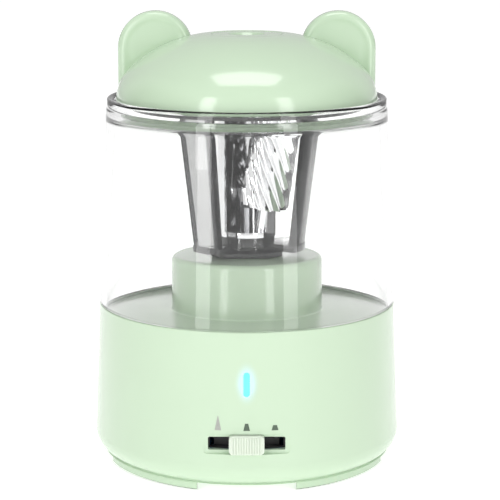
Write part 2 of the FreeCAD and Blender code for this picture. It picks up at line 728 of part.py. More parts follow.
def tip_stop():
    """Yoke that the slide lifts, with the sprung stop rod and its start switch."""
    arm_top = "(yoke_base + yoke_thickness)"
    slide_back = f"(-({SHELL_INNER} - 5.4))"
    arm_front = f"({slide_back} + 0.3)"
    arm = box(0, f"({arm_front} + 3) / 2", "yoke_base", 6, f"3 - {arm_front}", "yoke_thickness")
    upright = box(0, f"{arm_front} + 0.75", "pin_height - 1.5", 6, 1.5, f"{arm_top} - pin_height + 1.5")
    pin = cross_cylinder("shaft_radius", 0, "pin_height", f"{slide_back} - 1.4", f"{arm_front} + 1")
    bar = box(0, -14, "yoke_base", "2 * guide_post_spread + 5", 5, "yoke_thickness")
    boss_top = f"({arm_top} + 4.7)"
    boss = cylinder("collar_radius + 0.9", arm_top, boss_top)
    posts = [guide_post(side, "guide_post_radius + running_fit") for side in (-1, 1)]
    rod_bore = cylinder("rod_radius + running_fit", "yoke_base - 1", boss_top)
    cavity = cylinder("collar_radius + 0.2", f"{arm_top} + 0.2", f"{boss_top} + 1")
    sub_part("lift_yoke", cut(fuse(arm, upright, pin, bar, boss), rod_bore, cavity, *posts))
    retainer = ring("collar_radius + 0.9", "rod_radius + gap", boss_top, f"{boss_top} + 1")
    sub_part("rod_retainer", retainer)
    switch = fuse(box(0, 0, "yoke_base - 3.5", 6, 5.8, 3.5),
                  cylinder("rod_radius - 0.3", "yoke_base", "yoke_base + 1"))
    sub_part("start_switch", switch)
    rod_base = "(yoke_base + 1.1 + rod_travel)"
    collar = cylinder("collar_radius", f"{boss_top} - 1.1", f"{boss_top} - 0.1")
    tip = f"({TIP} - tip_step - 0.8)"
    rod = fuse(cylinder("rod_radius", rod_base, tip), collar)
    point = put(tie(doc.addObject("Part::Cone", "Point"), Radius1="rod_radius", Radius2="rod_radius - 0.6",
                    Height=1), 0, 0, tip)
    sub_part("tip_stop_rod", fuse(rod, point))
    spring = ring("collar_radius - 0.1", "rod_radius + 0.2", f"{arm_top} + 0.2", f"{boss_top} - 1.1")
    sub_part("stop_spring", spring)
    sub_part("yoke_guide_posts", group(*[guide_post(side, "guide_post_radius") for side in (-1, 1)]))


def guide_post(side, radius):
    return cylinder(radius, PLATE_TOP, GEAR_PLATE_BASE, f"{side} * guide_post_spread", -14)


# ---- base: electrics ----

def battery():
    x, y = "-(motor_radius + cell_gap + cell_radius)", "-cell_forward"
    base = f"({PLATE_TOP} + 1)"
    top = f"({base} + cell_length)"
    can = cylinder("cell_radius", base, f"{top} - 0.8", x, y)
    sub_part("battery_cell", fuse(can, cylinder(2.8, f"{top} - 0.8", top, x, y)))
    tube = ring("cell_radius + 1.6", "cell_radius + 0.1", PLATE_TOP, f"{PLATE_TOP} + 15", x, y)
    floor = cylinder("cell_radius + 1.6", PLATE_TOP, base, x, y)
    sub_part("battery_holder", fuse(tube, floor))


def electronics():
    """Light slot lens, its board and light, and the charging port on its board."""
    sub_part("led_lens", lens_shape())
    board_y = f"(-({SHELL_INNER} - board_inset))"
    sub_part("control_board", box(0, board_y, "lens_bottom - 1.1", 22, "board_thickness", 12))
    light_front = f"(-(base_radius - 3.87))"
    light_back = f"({board_y} - board_thickness / 2)"
    sub_part("indicator_light", box(0, f"({light_front} + {light_back}) / 2", "lens_bottom + 1.2",
                                    3, f"{light_back} - {light_front}", 4))
    front, back = f"({MOTOR_BACK} + 1.2)", f"({SHELL_INNER} - 1.5)"
    board = box(0, f"({front} + {back}) / 2", "port_bottom - 1.2", 14, f"{back} - {front}", 1.2)
    sub_part("port_board", board)
    middle, depth = f"{SHELL_INNER} - 2.3", 7.4
    case = box(0, middle, "port_bottom", "port_width", depth, "port_height")
    hollow = box(0, f"{middle} + 0.8", "port_bottom + port_wall", "port_width - 2 * port_wall",
                 depth, "port_height - 2 * port_wall")
    tongue = box(0, f"{middle} - 0.6", "port_bottom + port_height / 2 - 0.35", 6.6, 5, 0.7)
    sub_part("usb_port", fuse(cut(case, hollow), tongue))


# ---- clear bin ----

def shavings_bin():
    """Clear tapering tube, open at both ends, with a tongue below and a seat for the cap above."""
    shoulder = f"({RIM} - 2.2)"
    sub_part("shavings_bin", turned("bin_body", [
        (TONGUE_INNER, "seam_height - tongue_depth"),
        (TONGUE_OUTER, "seam_height - tongue_depth"),
        (TONGUE_OUTER, "seam_height"),
        (SEAM_RADIUS, "seam_height"),
        (BIN_TOP_RADIUS, shoulder),
        (f"{RIM_RADIUS} + 0.5", f"{RIM} + bin_lip", "bin_shoulder"),
        (f"{RIM_RADIUS} + rim_fit", f"{RIM} + bin_lip"),
        (f"{RIM_RADIUS} + rim_fit", RIM),
        (MOUTH_RADIUS, RIM),
        (MOUTH_RADIUS, f"{RIM} - 2.3"),
        (f"{BIN_TOP_RADIUS} - bin_wall", f"{RIM} - 4.5"),
        (f"{SEAM_RADIUS} - bin_wall", f"{DECK_TOP} + gap"),
        (TONGUE_INNER, f"{DECK_TOP} + gap"),
    ]))


# ---- cap ----

def dome(label, inset, start):
    """Solid under the dome's outline: a corner arc, then a flatter crown arc tangent to it."""
    turn = "corner_sweep"
    corner, crown = f"(corner_arc - {inset})", f"(crown_arc - {inset})"
    corner_x, corner_z = f"({RIM_RADIUS} - corner_arc)", f"({RIM} + rim_band)"
    crown_x = f"({corner_x} + (corner_arc - crown_arc) * cos({turn}))"
    crown_z = f"({corner_z} + (corner_arc - crown_arc) * sin({turn}))"
    outline = [
        (0, start),
        (f"{RIM_RADIUS} - {inset}", start),
        (f"{RIM_RADIUS} - {inset}", corner_z),
        (f"{corner_x} + {corner} * cos({turn})", f"{corner_z} + {corner} * sin({turn})", corner),
    ]
    if inset == 0:
        lip = f"{crown_z} + sqrt({crown} ^ 2 - (dish_radius - {crown_x}) ^ 2)"
        outline.append(("dish_radius", lip, crown))
        outline.append(("dish_radius - 0.7", f"{lip} - dish_depth"))
        outline.append((0, f"{lip} - dish_depth"))
    else:
        outline.append((crown_x, f"{crown_z} + {crown}", crown))
        outline.append((0, f"{crown_z} + {crown}"))
    return turned(label, outline)


def dish_floor():
    """Height of the floor of the shallow dish round the pencil hole."""
    corner_x = f"({RIM_RADIUS} - corner_arc)"
    crown_x = f"({corner_x} + (corner_arc - crown_arc) * cos(corner_sweep))"
    crown_z = f"({RIM} + rim_band + (corner_arc - crown_arc) * sin(corner_sweep))"
    return f"({crown_z} + sqrt(crown_arc ^ 2 - (dish_radius - {crown_x}) ^ 2) - dish_depth)"


def ear(side):
    """An upright slab with a round top, its outer edge in line with the rim."""
    x, z = f"{side} * {EAR_ACROSS}", f"({RIM} + ear_height - ear_radius)"
    front, back = "(ear_back - ear_thickness / 2)", "(ear_back + ear_thickness / 2)"
    arch = cross_cylinder("ear_radius", x, z, front, back)
    legs = box(x, "ear_back", f"{RIM} + rim_band", "2 * ear_radius", "ear_thickness",
               f"{z} - {RIM} - rim_band")
    slab = fuse(arch, legs)
    slab.Refine = True
    top = number(RIM) + 1
    slab = rounded(slab, "ear_rounding",
                   lambda edge: edge.BoundBox.ZMax > top and edge.BoundBox.YLength < 0.01)
    return common(slab, cylinder(RIM_RADIUS, RIM, f"{RIM} + ear_height + 1"))


def head_posts(radius):
    """The three posts that the head plate is screwed to."""
    return around(3, HEAD_CIRCLE, 90, lambda x, y: cylinder(radius, RING_BASE, f"{RING_BASE} + 11", x, y))


def head_screw_shapes():
    return around(3, HEAD_CIRCLE, 90,
                  lambda x, y: screw(x, y, f"{RING_BASE} - head_plate_thickness", 0.8, 1.9, 0.9, 6.5))


def ring_screw_shapes():
    return around(3, f"{RING_OUTER} + 1.3", 30,
                  lambda x, y: screw(x, y, f"{RING_BASE} - head_plate_thickness", 0.6, 1.2, 0.6, 2.9))


def cap():
    """Dome with ears, a bush boss and screw posts inside; the head plate closes it below."""
    outer = dome("dome_outer", 0, RIM)
    shell = cut(fuse(outer, ear(-1), ear(1)), dome("dome_inner", "cap_wall", f"{RIM} - 1"))
    bush_radius = f"({GUIDE_RADIUS} + 1.8)"
    boss = ring(f"{bush_radius} + boss_wall", bush_radius, BUSH_BASE, f"{dish_floor()} - 0.5")
    posts = head_posts("post_radius")
    hole = cylinder(f"{GUIDE_RADIUS} + 1.2", BUSH_TOP, f"{dish_floor()} + 5")
    whole = cut(fuse(shell, boss, common(fuse(*posts), outer)), hole, *head_screw_shapes())
    sub_part("cap_dome", whole)
    head_base = f"({RING_BASE} - head_plate_thickness)"
    plate = ring(SPIGOT_RADIUS, f"{CARRIER_RADIUS} + 0.4", head_base, RING_BASE)
    sub_part("head_plate", cut(plate, *head_screw_shapes(), *ring_screw_shapes()))
    sub_part("head_screws", group(*head_screw_shapes()))
    sub_part("ring_screws", group(*ring_screw_shapes()))
    bush = ring(bush_radius, f"{GUIDE_RADIUS} + running_fit", BUSH_BASE, BUSH_TOP)
    sub_part("guide_bush", bush)
    floor = dish_floor()
    collar = fuse(cylinder("dish_radius - 0.9", floor, f"{floor} + 0.8"),
                  cylinder(f"{GUIDE_RADIUS} + 1.1", f"{GUIDE_TOP} + 0.4", floor))
    bore = cylinder("pencil_bore / 2", GUIDE_TOP, f"{floor} + 2")
    mouth = put(tie(doc.addObject("Part::Cone", "Mouth"), Radius1="pencil_bore / 2",
                    Radius2="pencil_bore / 2 + 0.9", Height=0.9), 0, 0, f"{floor} - 0.1")
    sub_part("pencil_guide", cut(collar, bore, mouth))


def ring_gear():
    """Internal bevel gear fixed in the cap. Its flange is notched where it would meet a post."""
    teeth = int(number("ring_teeth"))
    module = 2 * number(f"tan({RING_CONE})") / teeth
    azimuth = math.radians(number("cutter_azimuth"))
    gaps = tooth_outline(teeth, module, 1.05 * module, 0.65 * module, -0.2 * module, azimuth)
    apex, base, top = number(APEX), number(RING_BASE), number(RING_TOP)
    teeth_cone = bevel_blank(gaps, base - apex - 1, top - apex + 1)
    teeth_cone.translate(FreeCAD.Vector(0, 0, apex))
    blank = Part.makeCylinder(number(RING_OUTER), top - base, FreeCAD.Vector(0, 0, base))
    flange = Part.makeCylinder(number(f"{RING_OUTER} + 2.7"), 1.5, FreeCAD.Vector(0, 0, base))
    whole = shaped("RingGear", blank.fuse(flange).cut(teeth_cone))
    sub_part("ring_gear", cut(whole, *ring_screw_shapes(), *head_posts("post_radius + gap")))


# ---- carrier: everything that turns with the cutter head ----

# Where each arm of the shavings guard starts and how far it reaches round Z, in degrees.
GUARDS = {
    "guard_right": ("guard_right_start", "guard_right_sweep"),
    "guard_left": ("guard_left_start", "guard_left_sweep"),
}


def carrier():
    """Disc with the guide tube and bridge above, the windowed tube and the hub below."""
    guide_bore = cylinder("pencil_bore / 2", f"{DISC_BASE} - 1", f"{GUIDE_TOP} + 1")
    disc = fuse(cylinder(CARRIER_RADIUS, DISC_BASE, DISC_TOP), cylinder(GUIDE_RADIUS, DISC_BASE, GUIDE_TOP))
    neck_hole = leaning_cylinder("neck_radius + 0.5", along(f"{DISC_BASE} - 4"), along(f"{DISC_TOP} + 4"))
    groove = ring(f"{GUIDE_RADIUS} + 1", f"{GUIDE_RADIUS} - 0.5", f"{BUSH_TOP} + 0.2", f"{BUSH_TOP} + 0.9")
    sub_part("carrier_head", cut(disc, guide_bore, neck_hole, groove))
    sub_part("guide_circlip", open_ring(groove_ring()))
    bridge()
    sill = f"({HUB_TOP} + window_sill)"
    tube = ring("sleeve_radius", "sleeve_radius - sleeve_wall", HUB_TOP, DISC_BASE)
    window = sector("window_start", "window_sweep", sill, f"{DISC_BASE} + 1")
    axle_bottom, axle_top = along(f"{HUB_TOP} + 0.4"), along(f"{BRIDGE_TOP} - 0.8")
    axle_hole = leaning_cylinder("axle_radius", axle_bottom, along(RIM))
    sub_part("cutter_sleeve", cut(tube, window, cutter_space(), axle_hole))
    hub()
    block = cylinder("sleeve_radius - sleeve_wall", HUB_TOP, sill)
    rod_hole = cylinder("spindle_bore / 2", f"{HUB_TOP} - 1", TIP)
    sub_part("lower_block", cut(block, axle_hole, rod_hole))
    sub_part("cutter_axle", leaning_cylinder("axle_radius", axle_bottom, axle_top))
    for name, sizes in GUARDS.items():
        guard(name, *sizes)


def groove_ring():
    return ring(f"{GUIDE_RADIUS} + 1", f"{GUIDE_RADIUS} - 0.5", f"{BUSH_TOP} + 0.25", f"{BUSH_TOP} + 0.85")


def open_ring(item):
    """A circlip is a ring with a gap."""
    return cut(item, box(8, 0, f"{BUSH_TOP} - 1", 16, 3, 4))


def cutter_space():
    """The space round the cutter that the tube and block leave open."""
    radius = "cutter_radius + cutter_clearance"
    return leaning_cylinder(radius, along(f"{TIP} - 1"), along(f"{RIM} + 4"))


def bridge():
    """Arm on the guide tube that holds the top of the cutter's axle."""
    reach = f"((({BRIDGE_BASE} + 1) - {APEX}) * taper)"
    eye = cylinder("axle_radius + 1.6", BRIDGE_BASE, BRIDGE_TOP, reach, 0)
    arm = box(f"{reach} / 2", 0, BRIDGE_BASE, reach, "2 * axle_radius + 3.2", 2)
    collar = cylinder(f"{GUIDE_RADIUS} + 2", BRIDGE_BASE, BRIDGE_TOP)
    whole = turned_about_z(fuse(eye, arm, collar), number("cutter_azimuth"))
    axle_hole = leaning_cylinder("axle_radius", along(RIM), along(f"{BRIDGE_TOP} + 4"))
    guide_hole = cylinder(GUIDE_RADIUS, RIM, GUIDE_TOP)
    sub_part("axle_bridge", cut(whole, axle_hole, guide_hole))


def hub():
    """Socket for the drive dog, with the webs that carry the two guards."""
    middle = cylinder("hub_radius", HUB_BASE, HUB_TOP)
    webs = []
    for start, sweep in GUARDS.values():
        disc = cylinder("guard_foot_radius + 0.2", HUB_BASE, f"{HUB_BASE} + web_thickness")
        webs.append(common(disc, sector(start, sweep, f"{HUB_BASE} - 1", HUB_TOP)))
    socket = prism(6, "dog_flats + 0.3", f"{HUB_BASE} - 1", f"{DOG_BASE} + dog_height + gap")
    bore = cylinder("spindle_bore / 2", HUB_BASE, f"{HUB_TOP} + 1")
    sub_part("carrier_hub", cut(fuse(middle, *webs), socket, bore))


def guard(label, start, sweep):
    """One arm of the shavings guard: a sector of a cone shell from the web to the disc."""
    low, high = f"({HUB_BASE} + web_thickness)", DISC_BASE
    inner_low, inner_high = "(guard_foot_radius - guard_wall)", f"({CARRIER_RADIUS} - 0.2 - guard_wall)"
    shell = cut(cone("guard_foot_radius", f"{CARRIER_RADIUS} - 0.2", low, high),
                cone(inner_low, inner_high, low, high))
    sub_part(label, common(shell, sector(start, sweep, f"{low} - 1", f"{high} + 1")))


# ---- cutter ----

def cutter():
    """Left-hand helical cutter with its neck, and the bevel pinion above the carrier's disc."""
    radius, flutes = number("cutter_radius"), int(number("flutes"))
    low, high = number(along(f"{TIP} - 0.6")), number(along(f"{DISC_BASE} - 1.9"))
    twist = (high - low) * number("tan(helix_angle)") / radius
    root = radius - number("flute_depth")
    sections = []
    steps = 12
    for step in range(steps + 1):
        turn = -twist * step / steps
        corners = []
        for flute in range(flutes):
            middle = turn + 2 * math.pi * flute / flutes
            for part, distance in ((-0.5, root), (0.1, radius), (0.25, radius)):
                angle = middle + part * 2 * math.pi / flutes
                corners.append(FreeCAD.Vector(distance * math.cos(angle), distance * math.sin(angle), 0))
        sections.append(outline_wire(corners, 1, low + (high - low) * step / steps))
    blade = Part.makeLoft(sections, True, True)
    bore = number("axle_radius + running_fit")
    start = number(along(RING_BASE)) + 0.25
    neck = Part.makeCylinder(number("neck_radius"), start - high, FreeCAD.Vector(0, 0, high))
    hollow = Part.makeCylinder(bore, start - low + 2, FreeCAD.Vector(0, 0, low - 1))
    sub_part("helical_cutter", leaning(shaped("Cutter", blade.fuse(neck).cut(hollow))))

    teeth = int(number("pinion_teeth"))
    module = 2 * number(f"tan({PINION_CONE})") / teeth
    outline = tooth_outline(teeth, module, 0.75 * module, 1.1 * module, 0.1 * module)
    end = start + number("ring_face") - 0.4
    pinion = bevel_blank(outline, start, end)
    pinion = pinion.cut(Part.makeCylinder(bore, 20, FreeCAD.Vector(0, 0, start - 5)))
    sub_part("cutter_pinion", leaning(shaped("BevelPinion", pinion)))


base_shell()
bottom_plate()
sub_part("rubber_feet", pad_arcs())
sub_part("plate_screws", group(*plate_screw_shapes()))
deck_turret()
motor()
gear_plate()
bushes()
gear_train()
spindle()
selector()
tip_stop()
battery()
electronics()
shavings_bin()
cap()
ring_gear()
carrier()
cutter()

doc.recompute()
broken = [item.Label for item in doc.Objects if {"Invalid", "Error"} & set(item.State)]
broken += [label for label, item in nodes.items() if item.Shape.isNull() or not item.Shape.isValid()]
if broken:
    raise RuntimeError("these objects failed: " + ", ".join(broken))

os.makedirs("parts", exist_ok=True)
for label, item in nodes.items():
    item.Shape.exportStep(f"parts/{label}.step")
    print(label, len(item.Shape.Solids), round(item.Shape.Volume, 1))
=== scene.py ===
import bpy
import bmesh
import json
import math
from mathutils import Matrix, Vector


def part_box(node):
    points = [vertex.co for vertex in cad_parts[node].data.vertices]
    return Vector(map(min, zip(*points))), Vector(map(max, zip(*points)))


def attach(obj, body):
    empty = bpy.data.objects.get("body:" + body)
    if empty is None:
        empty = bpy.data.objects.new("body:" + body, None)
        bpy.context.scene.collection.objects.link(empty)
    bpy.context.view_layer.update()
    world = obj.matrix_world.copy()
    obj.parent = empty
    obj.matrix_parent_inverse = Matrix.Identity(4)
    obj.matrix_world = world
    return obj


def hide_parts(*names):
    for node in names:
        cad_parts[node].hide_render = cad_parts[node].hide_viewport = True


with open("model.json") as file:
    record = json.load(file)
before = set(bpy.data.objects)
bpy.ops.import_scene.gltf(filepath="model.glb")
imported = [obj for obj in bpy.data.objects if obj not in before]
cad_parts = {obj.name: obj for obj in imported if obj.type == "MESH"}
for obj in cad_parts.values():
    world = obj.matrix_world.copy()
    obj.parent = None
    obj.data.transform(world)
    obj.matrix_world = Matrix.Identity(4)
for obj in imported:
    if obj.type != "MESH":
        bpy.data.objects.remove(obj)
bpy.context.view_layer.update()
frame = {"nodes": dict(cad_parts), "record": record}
MM = 0.001

# ---- Studio ----
# A white sweep under soft light: two tall soft boxes in front, left and right, a broad one
# above and a pale surround that darkens at the sides, so the clear wall's edges read dark.

lens_camera = bpy.data.cameras.new("camera")
lens_camera.lens = 133.6
lens_camera.sensor_width = 36
camera = bpy.data.objects.new("camera", lens_camera)
bpy.context.scene.collection.objects.link(camera)
camera.location = (0.00086, -0.5, 0.1569)
camera.rotation_euler = (math.pi / 2 - 0.1976, 0, 0)
bpy.context.scene.camera = camera
bpy.context.scene.view_settings.view_transform = "Standard"


def tree_of(owner):
    """The owner's node tree, emptied, with a short way to add nodes and join them."""
    owner.use_nodes = True
    owner.node_tree.nodes.clear()
    return owner.node_tree


def add(tree, kind, inputs=None, **settings):
    """A node with its settings, and each input set to a value or joined to a socket."""
    made = tree.nodes.new(kind)
    for name, value in settings.items():
        setattr(made, name, value)
    for name, value in (inputs or {}).items():
        if isinstance(value, bpy.types.NodeSocket):
            tree.links.new(value, made.inputs[name])
        else:
            made.inputs[name].default_value = value
    return made


def area_light(name, place, target, width, height, power, tint=(1, 1, 1)):
    data = bpy.data.lights.new(name, "AREA")
    data.shape = "RECTANGLE"
    data.size = width
    data.size_y = height
    data.energy = power
    data.color = tint
    lamp = bpy.data.objects.new(name, data)
    lamp.location = place
    lamp.rotation_euler = (Vector(target) - Vector(place)).to_track_quat("-Z", "Y").to_euler()
    bpy.context.scene.collection.objects.link(lamp)
    return lamp


area_light("soft_box_left", (-0.42, -0.62, 0.26), (0, 0, 0.06), 0.16, 0.62, 1.5)
area_light("soft_box_right", (0.42, -0.62, 0.26), (0, 0, 0.06), 0.16, 0.62, 1.3)
area_light("soft_box_above", (0, -0.10, 0.75), (0, 0, 0.05), 0.42, 0.30, 1.6)

surround = bpy.data.worlds.new("surround")
bpy.context.scene.world = surround
sky = tree_of(surround)
way = add(sky, "ShaderNodeTexCoord")
parts = add(sky, "ShaderNodeSeparateXYZ", {0: way.outputs["Generated"]})
sideways = add(sky, "ShaderNodeMath", {0: parts.outputs["X"]}, operation="ABSOLUTE")
shade = add(sky, "ShaderNodeMapRange", {"Value": sideways.outputs[0], "From Min": 0.72, "From Max": 0.93,
                                        "To Min": 0.60, "To Max": 0.10}, interpolation_type="SMOOTHSTEP")
reflected = add(sky, "ShaderNodeBackground", {"Color": (1, 1, 1, 1), "Strength": shade.outputs[0]})
seen = add(sky, "ShaderNodeBackground", {"Color": (1, 1, 1, 1), "Strength": 1.0})
path = add(sky, "ShaderNodeLightPath")
direct = add(sky, "ShaderNodeMath", {0: path.outputs["Is Camera Ray"],
                                     1: path.outputs["Is Transmission Ray"]}, operation="MAXIMUM")
both = add(sky, "ShaderNodeMixShader", {0: direct.outputs[0], 1: reflected.outputs[0], 2: seen.outputs[0]})
add(sky, "ShaderNodeOutputWorld", {"Surface": both.outputs[0]})

floor_data = bpy.data.meshes.new("floor")
reach = 3.0
floor_data.from_pydata([(-reach, -reach, 0), (reach, -reach, 0), (reach, reach, 0), (-reach, reach, 0)],
                       [], [(0, 1, 2, 3)])
floor = bpy.data.objects.new("floor", floor_data)
bpy.context.scene.collection.objects.link(floor)
paper = bpy.data.materials.new("white_paper")
sheet = tree_of(paper)
matt = add(sheet, "ShaderNodeBsdfDiffuse", {"Color": (0.86, 0.86, 0.86, 1)})
lift = add(sheet, "ShaderNodeEmission", {"Color": (1, 1, 1, 1), "Strength": 0.55})
total = add(sheet, "ShaderNodeAddShader", {0: matt.outputs[0], 1: lift.outputs[0]})
add(sheet, "ShaderNodeOutputMaterial", {"Surface": total.outputs[0]})
floor_data.materials.append(paper)

# ---- Base shell ----
# The round lower housing, injection moulded in glossy mint ABS: a drafted wall with a rounded
# lower corner, a flat sunk seat for the selector and an upright slot for the light.

shell_low, shell_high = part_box("base_shell")
knob_low, knob_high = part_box("selector_knob")
lens_low, lens_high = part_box("led_lens")
port_low, port_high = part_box("usb_port")
plate_low, plate_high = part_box("bottom_plate")
bin_low, bin_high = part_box("shavings_bin")
BASE_RADIUS = shell_high.x
SEAM = shell_high.z
SHELL_FOOT = shell_low.z
SEAM_RADIUS = BASE_RADIUS - 1.5 * MM
TURNS = 192


def arc(centre, radius, start, end, steps):
    """Points (radius, height) along an arc between two angles in degrees."""
    angles = [math.radians(start + (end - start) * step / steps) for step in range(steps + 1)]
    return [(centre[0] + radius * math.cos(a), centre[1] + radius * math.sin(a)) for a in angles]


def link_mesh(name, mesh):
    item = bpy.data.objects.new(name, mesh)
    bpy.context.scene.collection.objects.link(item)
    return item


def smooth(item, angle=35.0):
    """Smooth shading that keeps edges sharper than the angle."""
    item.data.polygons.foreach_set("use_smooth", [True] * len(item.data.polygons))
    item.data.set_sharp_from_angle(angle=math.radians(angle))
    return item


def lathe(name, outline, turns=TURNS, start=0.0, sweep=360.0):
    """A closed outline of (radius, height) points turned about Z. A part turn gets flat ends."""
    mesh = bmesh.new()
    rings = turns if sweep == 360 else turns + 1
    columns = []
    for turn in range(rings):
        a = math.radians(start + sweep * turn / turns)
        columns.append([mesh.verts.new((r * math.cos(a), r * math.sin(a), z)) for r, z in outline])
    count = len(outline)
    for turn in range(turns):
        here, there = columns[turn], columns[(turn + 1) % rings]
        for index in range(count):
            after = (index + 1) % count
            mesh.faces.new((here[index], there[index], there[after], here[after]))
    if sweep != 360:
        mesh.faces.new(columns[0])
        mesh.faces.new(columns[-1])
    bmesh.ops.remove_doubles(mesh, verts=mesh.verts, dist=1e-7)
    bmesh.ops.dissolve_degenerate(mesh, dist=1e-7, edges=mesh.edges)
    bmesh.ops.delete(mesh, geom=[e for e in mesh.edges if not e.link_faces], context="EDGES")
    bmesh.ops.recalc_face_normals(mesh, faces=mesh.faces)
    data = bpy.data.meshes.new(name)
    mesh.to_mesh(data)
    mesh.free()
    return smooth(link_mesh(name, data))


def block(name, low, high, rounding=0.0, along=None):
    """A solid box between two corners, with the edges along one axis rounded."""
    mesh = bmesh.new()
    size = Vector(high) - Vector(low)
    middle = (Vector(high) + Vector(low)) / 2
    bmesh.ops.create_cube(mesh, size=1, matrix=Matrix.Translation(middle) @ Matrix.Diagonal((*size, 1)))
    if rounding:
        edges = [e for e in mesh.edges if along is None
                 or abs((e.verts[0].co - e.verts[1].co).normalized()[along]) > 0.9]
        bmesh.ops.bevel(mesh, geom=edges, offset=rounding, segments=6, profile=0.5, affect="EDGES")
    data = bpy.data.meshes.new(name)
    mesh.to_mesh(data)
    mesh.free()
    return link_mesh(name, data)


def apply_modifiers(item):
    """Turn the object's modifiers into plain mesh."""
    graph = bpy.context.evaluated_depsgraph_get()
    mesh = bpy.data.meshes.new_from_object(item.evaluated_get(graph))
    item.modifiers.clear()
    item.data = mesh
    return item


def carve(item, *tools, operation="DIFFERENCE", solver="EXACT"):
    """Cut the tools out of the item, or join or keep what they cover, and delete them."""
    for tool in tools:
        step = item.modifiers.new("carve", "BOOLEAN")
        step.operation = operation
        step.solver = solver
        step.object = tool
    apply_modifiers(item)
    for tool in tools:
        bpy.data.objects.remove(tool)
    return item


def soften(item, width, segments=3, angle=40):
    """A small round on every edge sharper than the angle."""
    bevel = item.modifiers.new("soften", "BEVEL")
    bevel.width = width
    bevel.segments = segments
    bevel.limit_method = "ANGLE"
    bevel.angle_limit = math.radians(angle)
    bevel.harden_normals = False
    return smooth(apply_modifiers(item))


def finish_piece(item, body, slot, material, *nodes):
    """Give the piece its material, hang it on its body's empty and hide the frame parts it replaces."""
    item.data.materials.clear()
    item.data.materials.append(material)
    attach(item, body)
    if nodes:
        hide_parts(*nodes)
    return item


def moulded(name, colour, roughness=0.16, grain=0.02, coat=0.35, mottle=0.03):
    """Moulded plastic: a faint cloudiness in the colour and the fine waviness of a moulded skin."""
    material = bpy.data.materials.new(name)
    tree = tree_of(material)
    place = add(tree, "ShaderNodeTexCoord").outputs["Object"]
    cloud = add(tree, "ShaderNodeTexNoise", {"Vector": place, "Scale": 38.0, "Detail": 3.0})
    darker = tuple(c * (1 - mottle) for c in colour)
    tone = add(tree, "ShaderNodeMix", {0: cloud.outputs["Fac"], 6: (*darker, 1), 7: (*colour, 1)},
               data_type="RGBA")
    skin = add(tree, "ShaderNodeTexNoise", {"Vector": place, "Scale": 900.0, "Detail": 2.0})
    wear = add(tree, "ShaderNodeMapRange", {"Value": cloud.outputs["Fac"], "To Min": roughness * 0.85,
                                            "To Max": roughness * 1.2})
    bump = add(tree, "ShaderNodeBump", {"Height": skin.outputs["Fac"], "Strength": grain, "Distance": 0.0002})
    shader = add(tree, "ShaderNodeBsdfPrincipled", {
        "Base Color": tone.outputs[2], "Roughness": wear.outputs[0], "IOR": 1.52, "Coat Weight": coat,
        "Coat Roughness": 0.06, "Normal": bump.outputs[0]})
    add(tree, "ShaderNodeOutputMaterial", {"Surface": shader.outputs[0]})
    return material


MINT = (0.545, 0.690, 0.510)
mint_plastic = moulded("mint_plastic", MINT)

wall_inside = BASE_RADIUS - 2.4 * MM
rim_round = 0.35 * MM
outline = [(plate_high.x + 0.15 * MM, SHELL_FOOT), (BASE_RADIUS - 2.5 * MM, SHELL_FOOT)]
outline += arc((BASE_RADIUS - 6.2 * MM, SHELL_FOOT + 5.6 * MM), 6.2 * MM, -58, 0, 14)
outline += arc((SEAM_RADIUS - rim_round, SEAM - rim_round), rim_round, 2, 90, 6)
outline += [(SEAM_RADIUS - 1.2 * MM, SEAM), (SEAM_RADIUS - 1.2 * MM, SEAM - 3.6 * MM),
            (SEAM_RADIUS - 3.9 * MM, SEAM - 3.6 * MM), (SEAM_RADIUS - 3.9 * MM, SEAM - 5.1 * MM),
            (SEAM_RADIUS - 2.1 * MM, SEAM - 7 * MM), (wall_inside, plate_high.z),
            (plate_high.x - 1.4 * MM, plate_high.z - 2 * MM), (plate_high.x - 1.4 * MM, SHELL_FOOT + 2 * MM),
            (plate_high.x + 0.15 * MM, SHELL_FOOT + 2 * MM)]
base_shell = lathe("base_shell_skin", outline)
smooth(base_shell, 30)
recess_floor = -(BASE_RADIUS - 1.8 * MM)
knob_middle = (knob_low.z + knob_high.z) / 2
RECESS_WIDTH = 22.1 * MM
recess = block("recess", (-RECESS_WIDTH / 2, recess_floor - 5 * MM, knob_middle - 2.7 * MM),
               (RECESS_WIDTH / 2, recess_floor, knob_middle + 2.7 * MM), 0.7 * MM, 1)
travel_slot = block("travel_slot", (-10 * MM, recess_floor - 3 * MM, knob_middle - 1.75 * MM),
                    (10 * MM, recess_floor + 5 * MM, knob_middle + 1.75 * MM), 0.4 * MM, 1)
light_slot = block("light_slot", (lens_low.x, lens_low.y - 2 * MM, lens_low.z),
                   (lens_high.x, lens_low.y + 5 * MM, lens_high.z), 0.8 * MM, 1)
port_slot = block("port_slot", (port_low.x - 0.1 * MM, port_low.y, port_low.z - 0.1 * MM),
                  (port_high.x + 0.1 * MM, port_high.y + 3 * MM, port_high.z + 0.1 * MM), 1.2 * MM, 1)
carve(base_shell, recess, travel_slot, light_slot, port_slot)
smooth(base_shell, 30)


def turned_normals(item, low, high, tangent):
    """Exact normals for the faces of a turned wall between two heights, which keeps it even
    where openings cut it. tangent gives the wall's slope (outward, up) at a height."""
    mesh = item.data
    normals = [Vector(n.vector) for n in mesh.corner_normals]
    for face in mesh.polygons:
        middle = face.center
        outward = Vector((middle.x, middle.y, 0)).normalized()
        if not low < middle.z < high or face.normal.dot(outward) < 0.8:
            continue
        for loop in face.loop_indices:
            point = mesh.vertices[mesh.loops[loop].vertex_index].co
            out, up = tangent(point.z)
            away = Vector((point.x, point.y, 0)).normalized()
            normals[loop] = (away * out + Vector((0, 0, up))).normalized()
    mesh.normals_split_custom_set(normals)


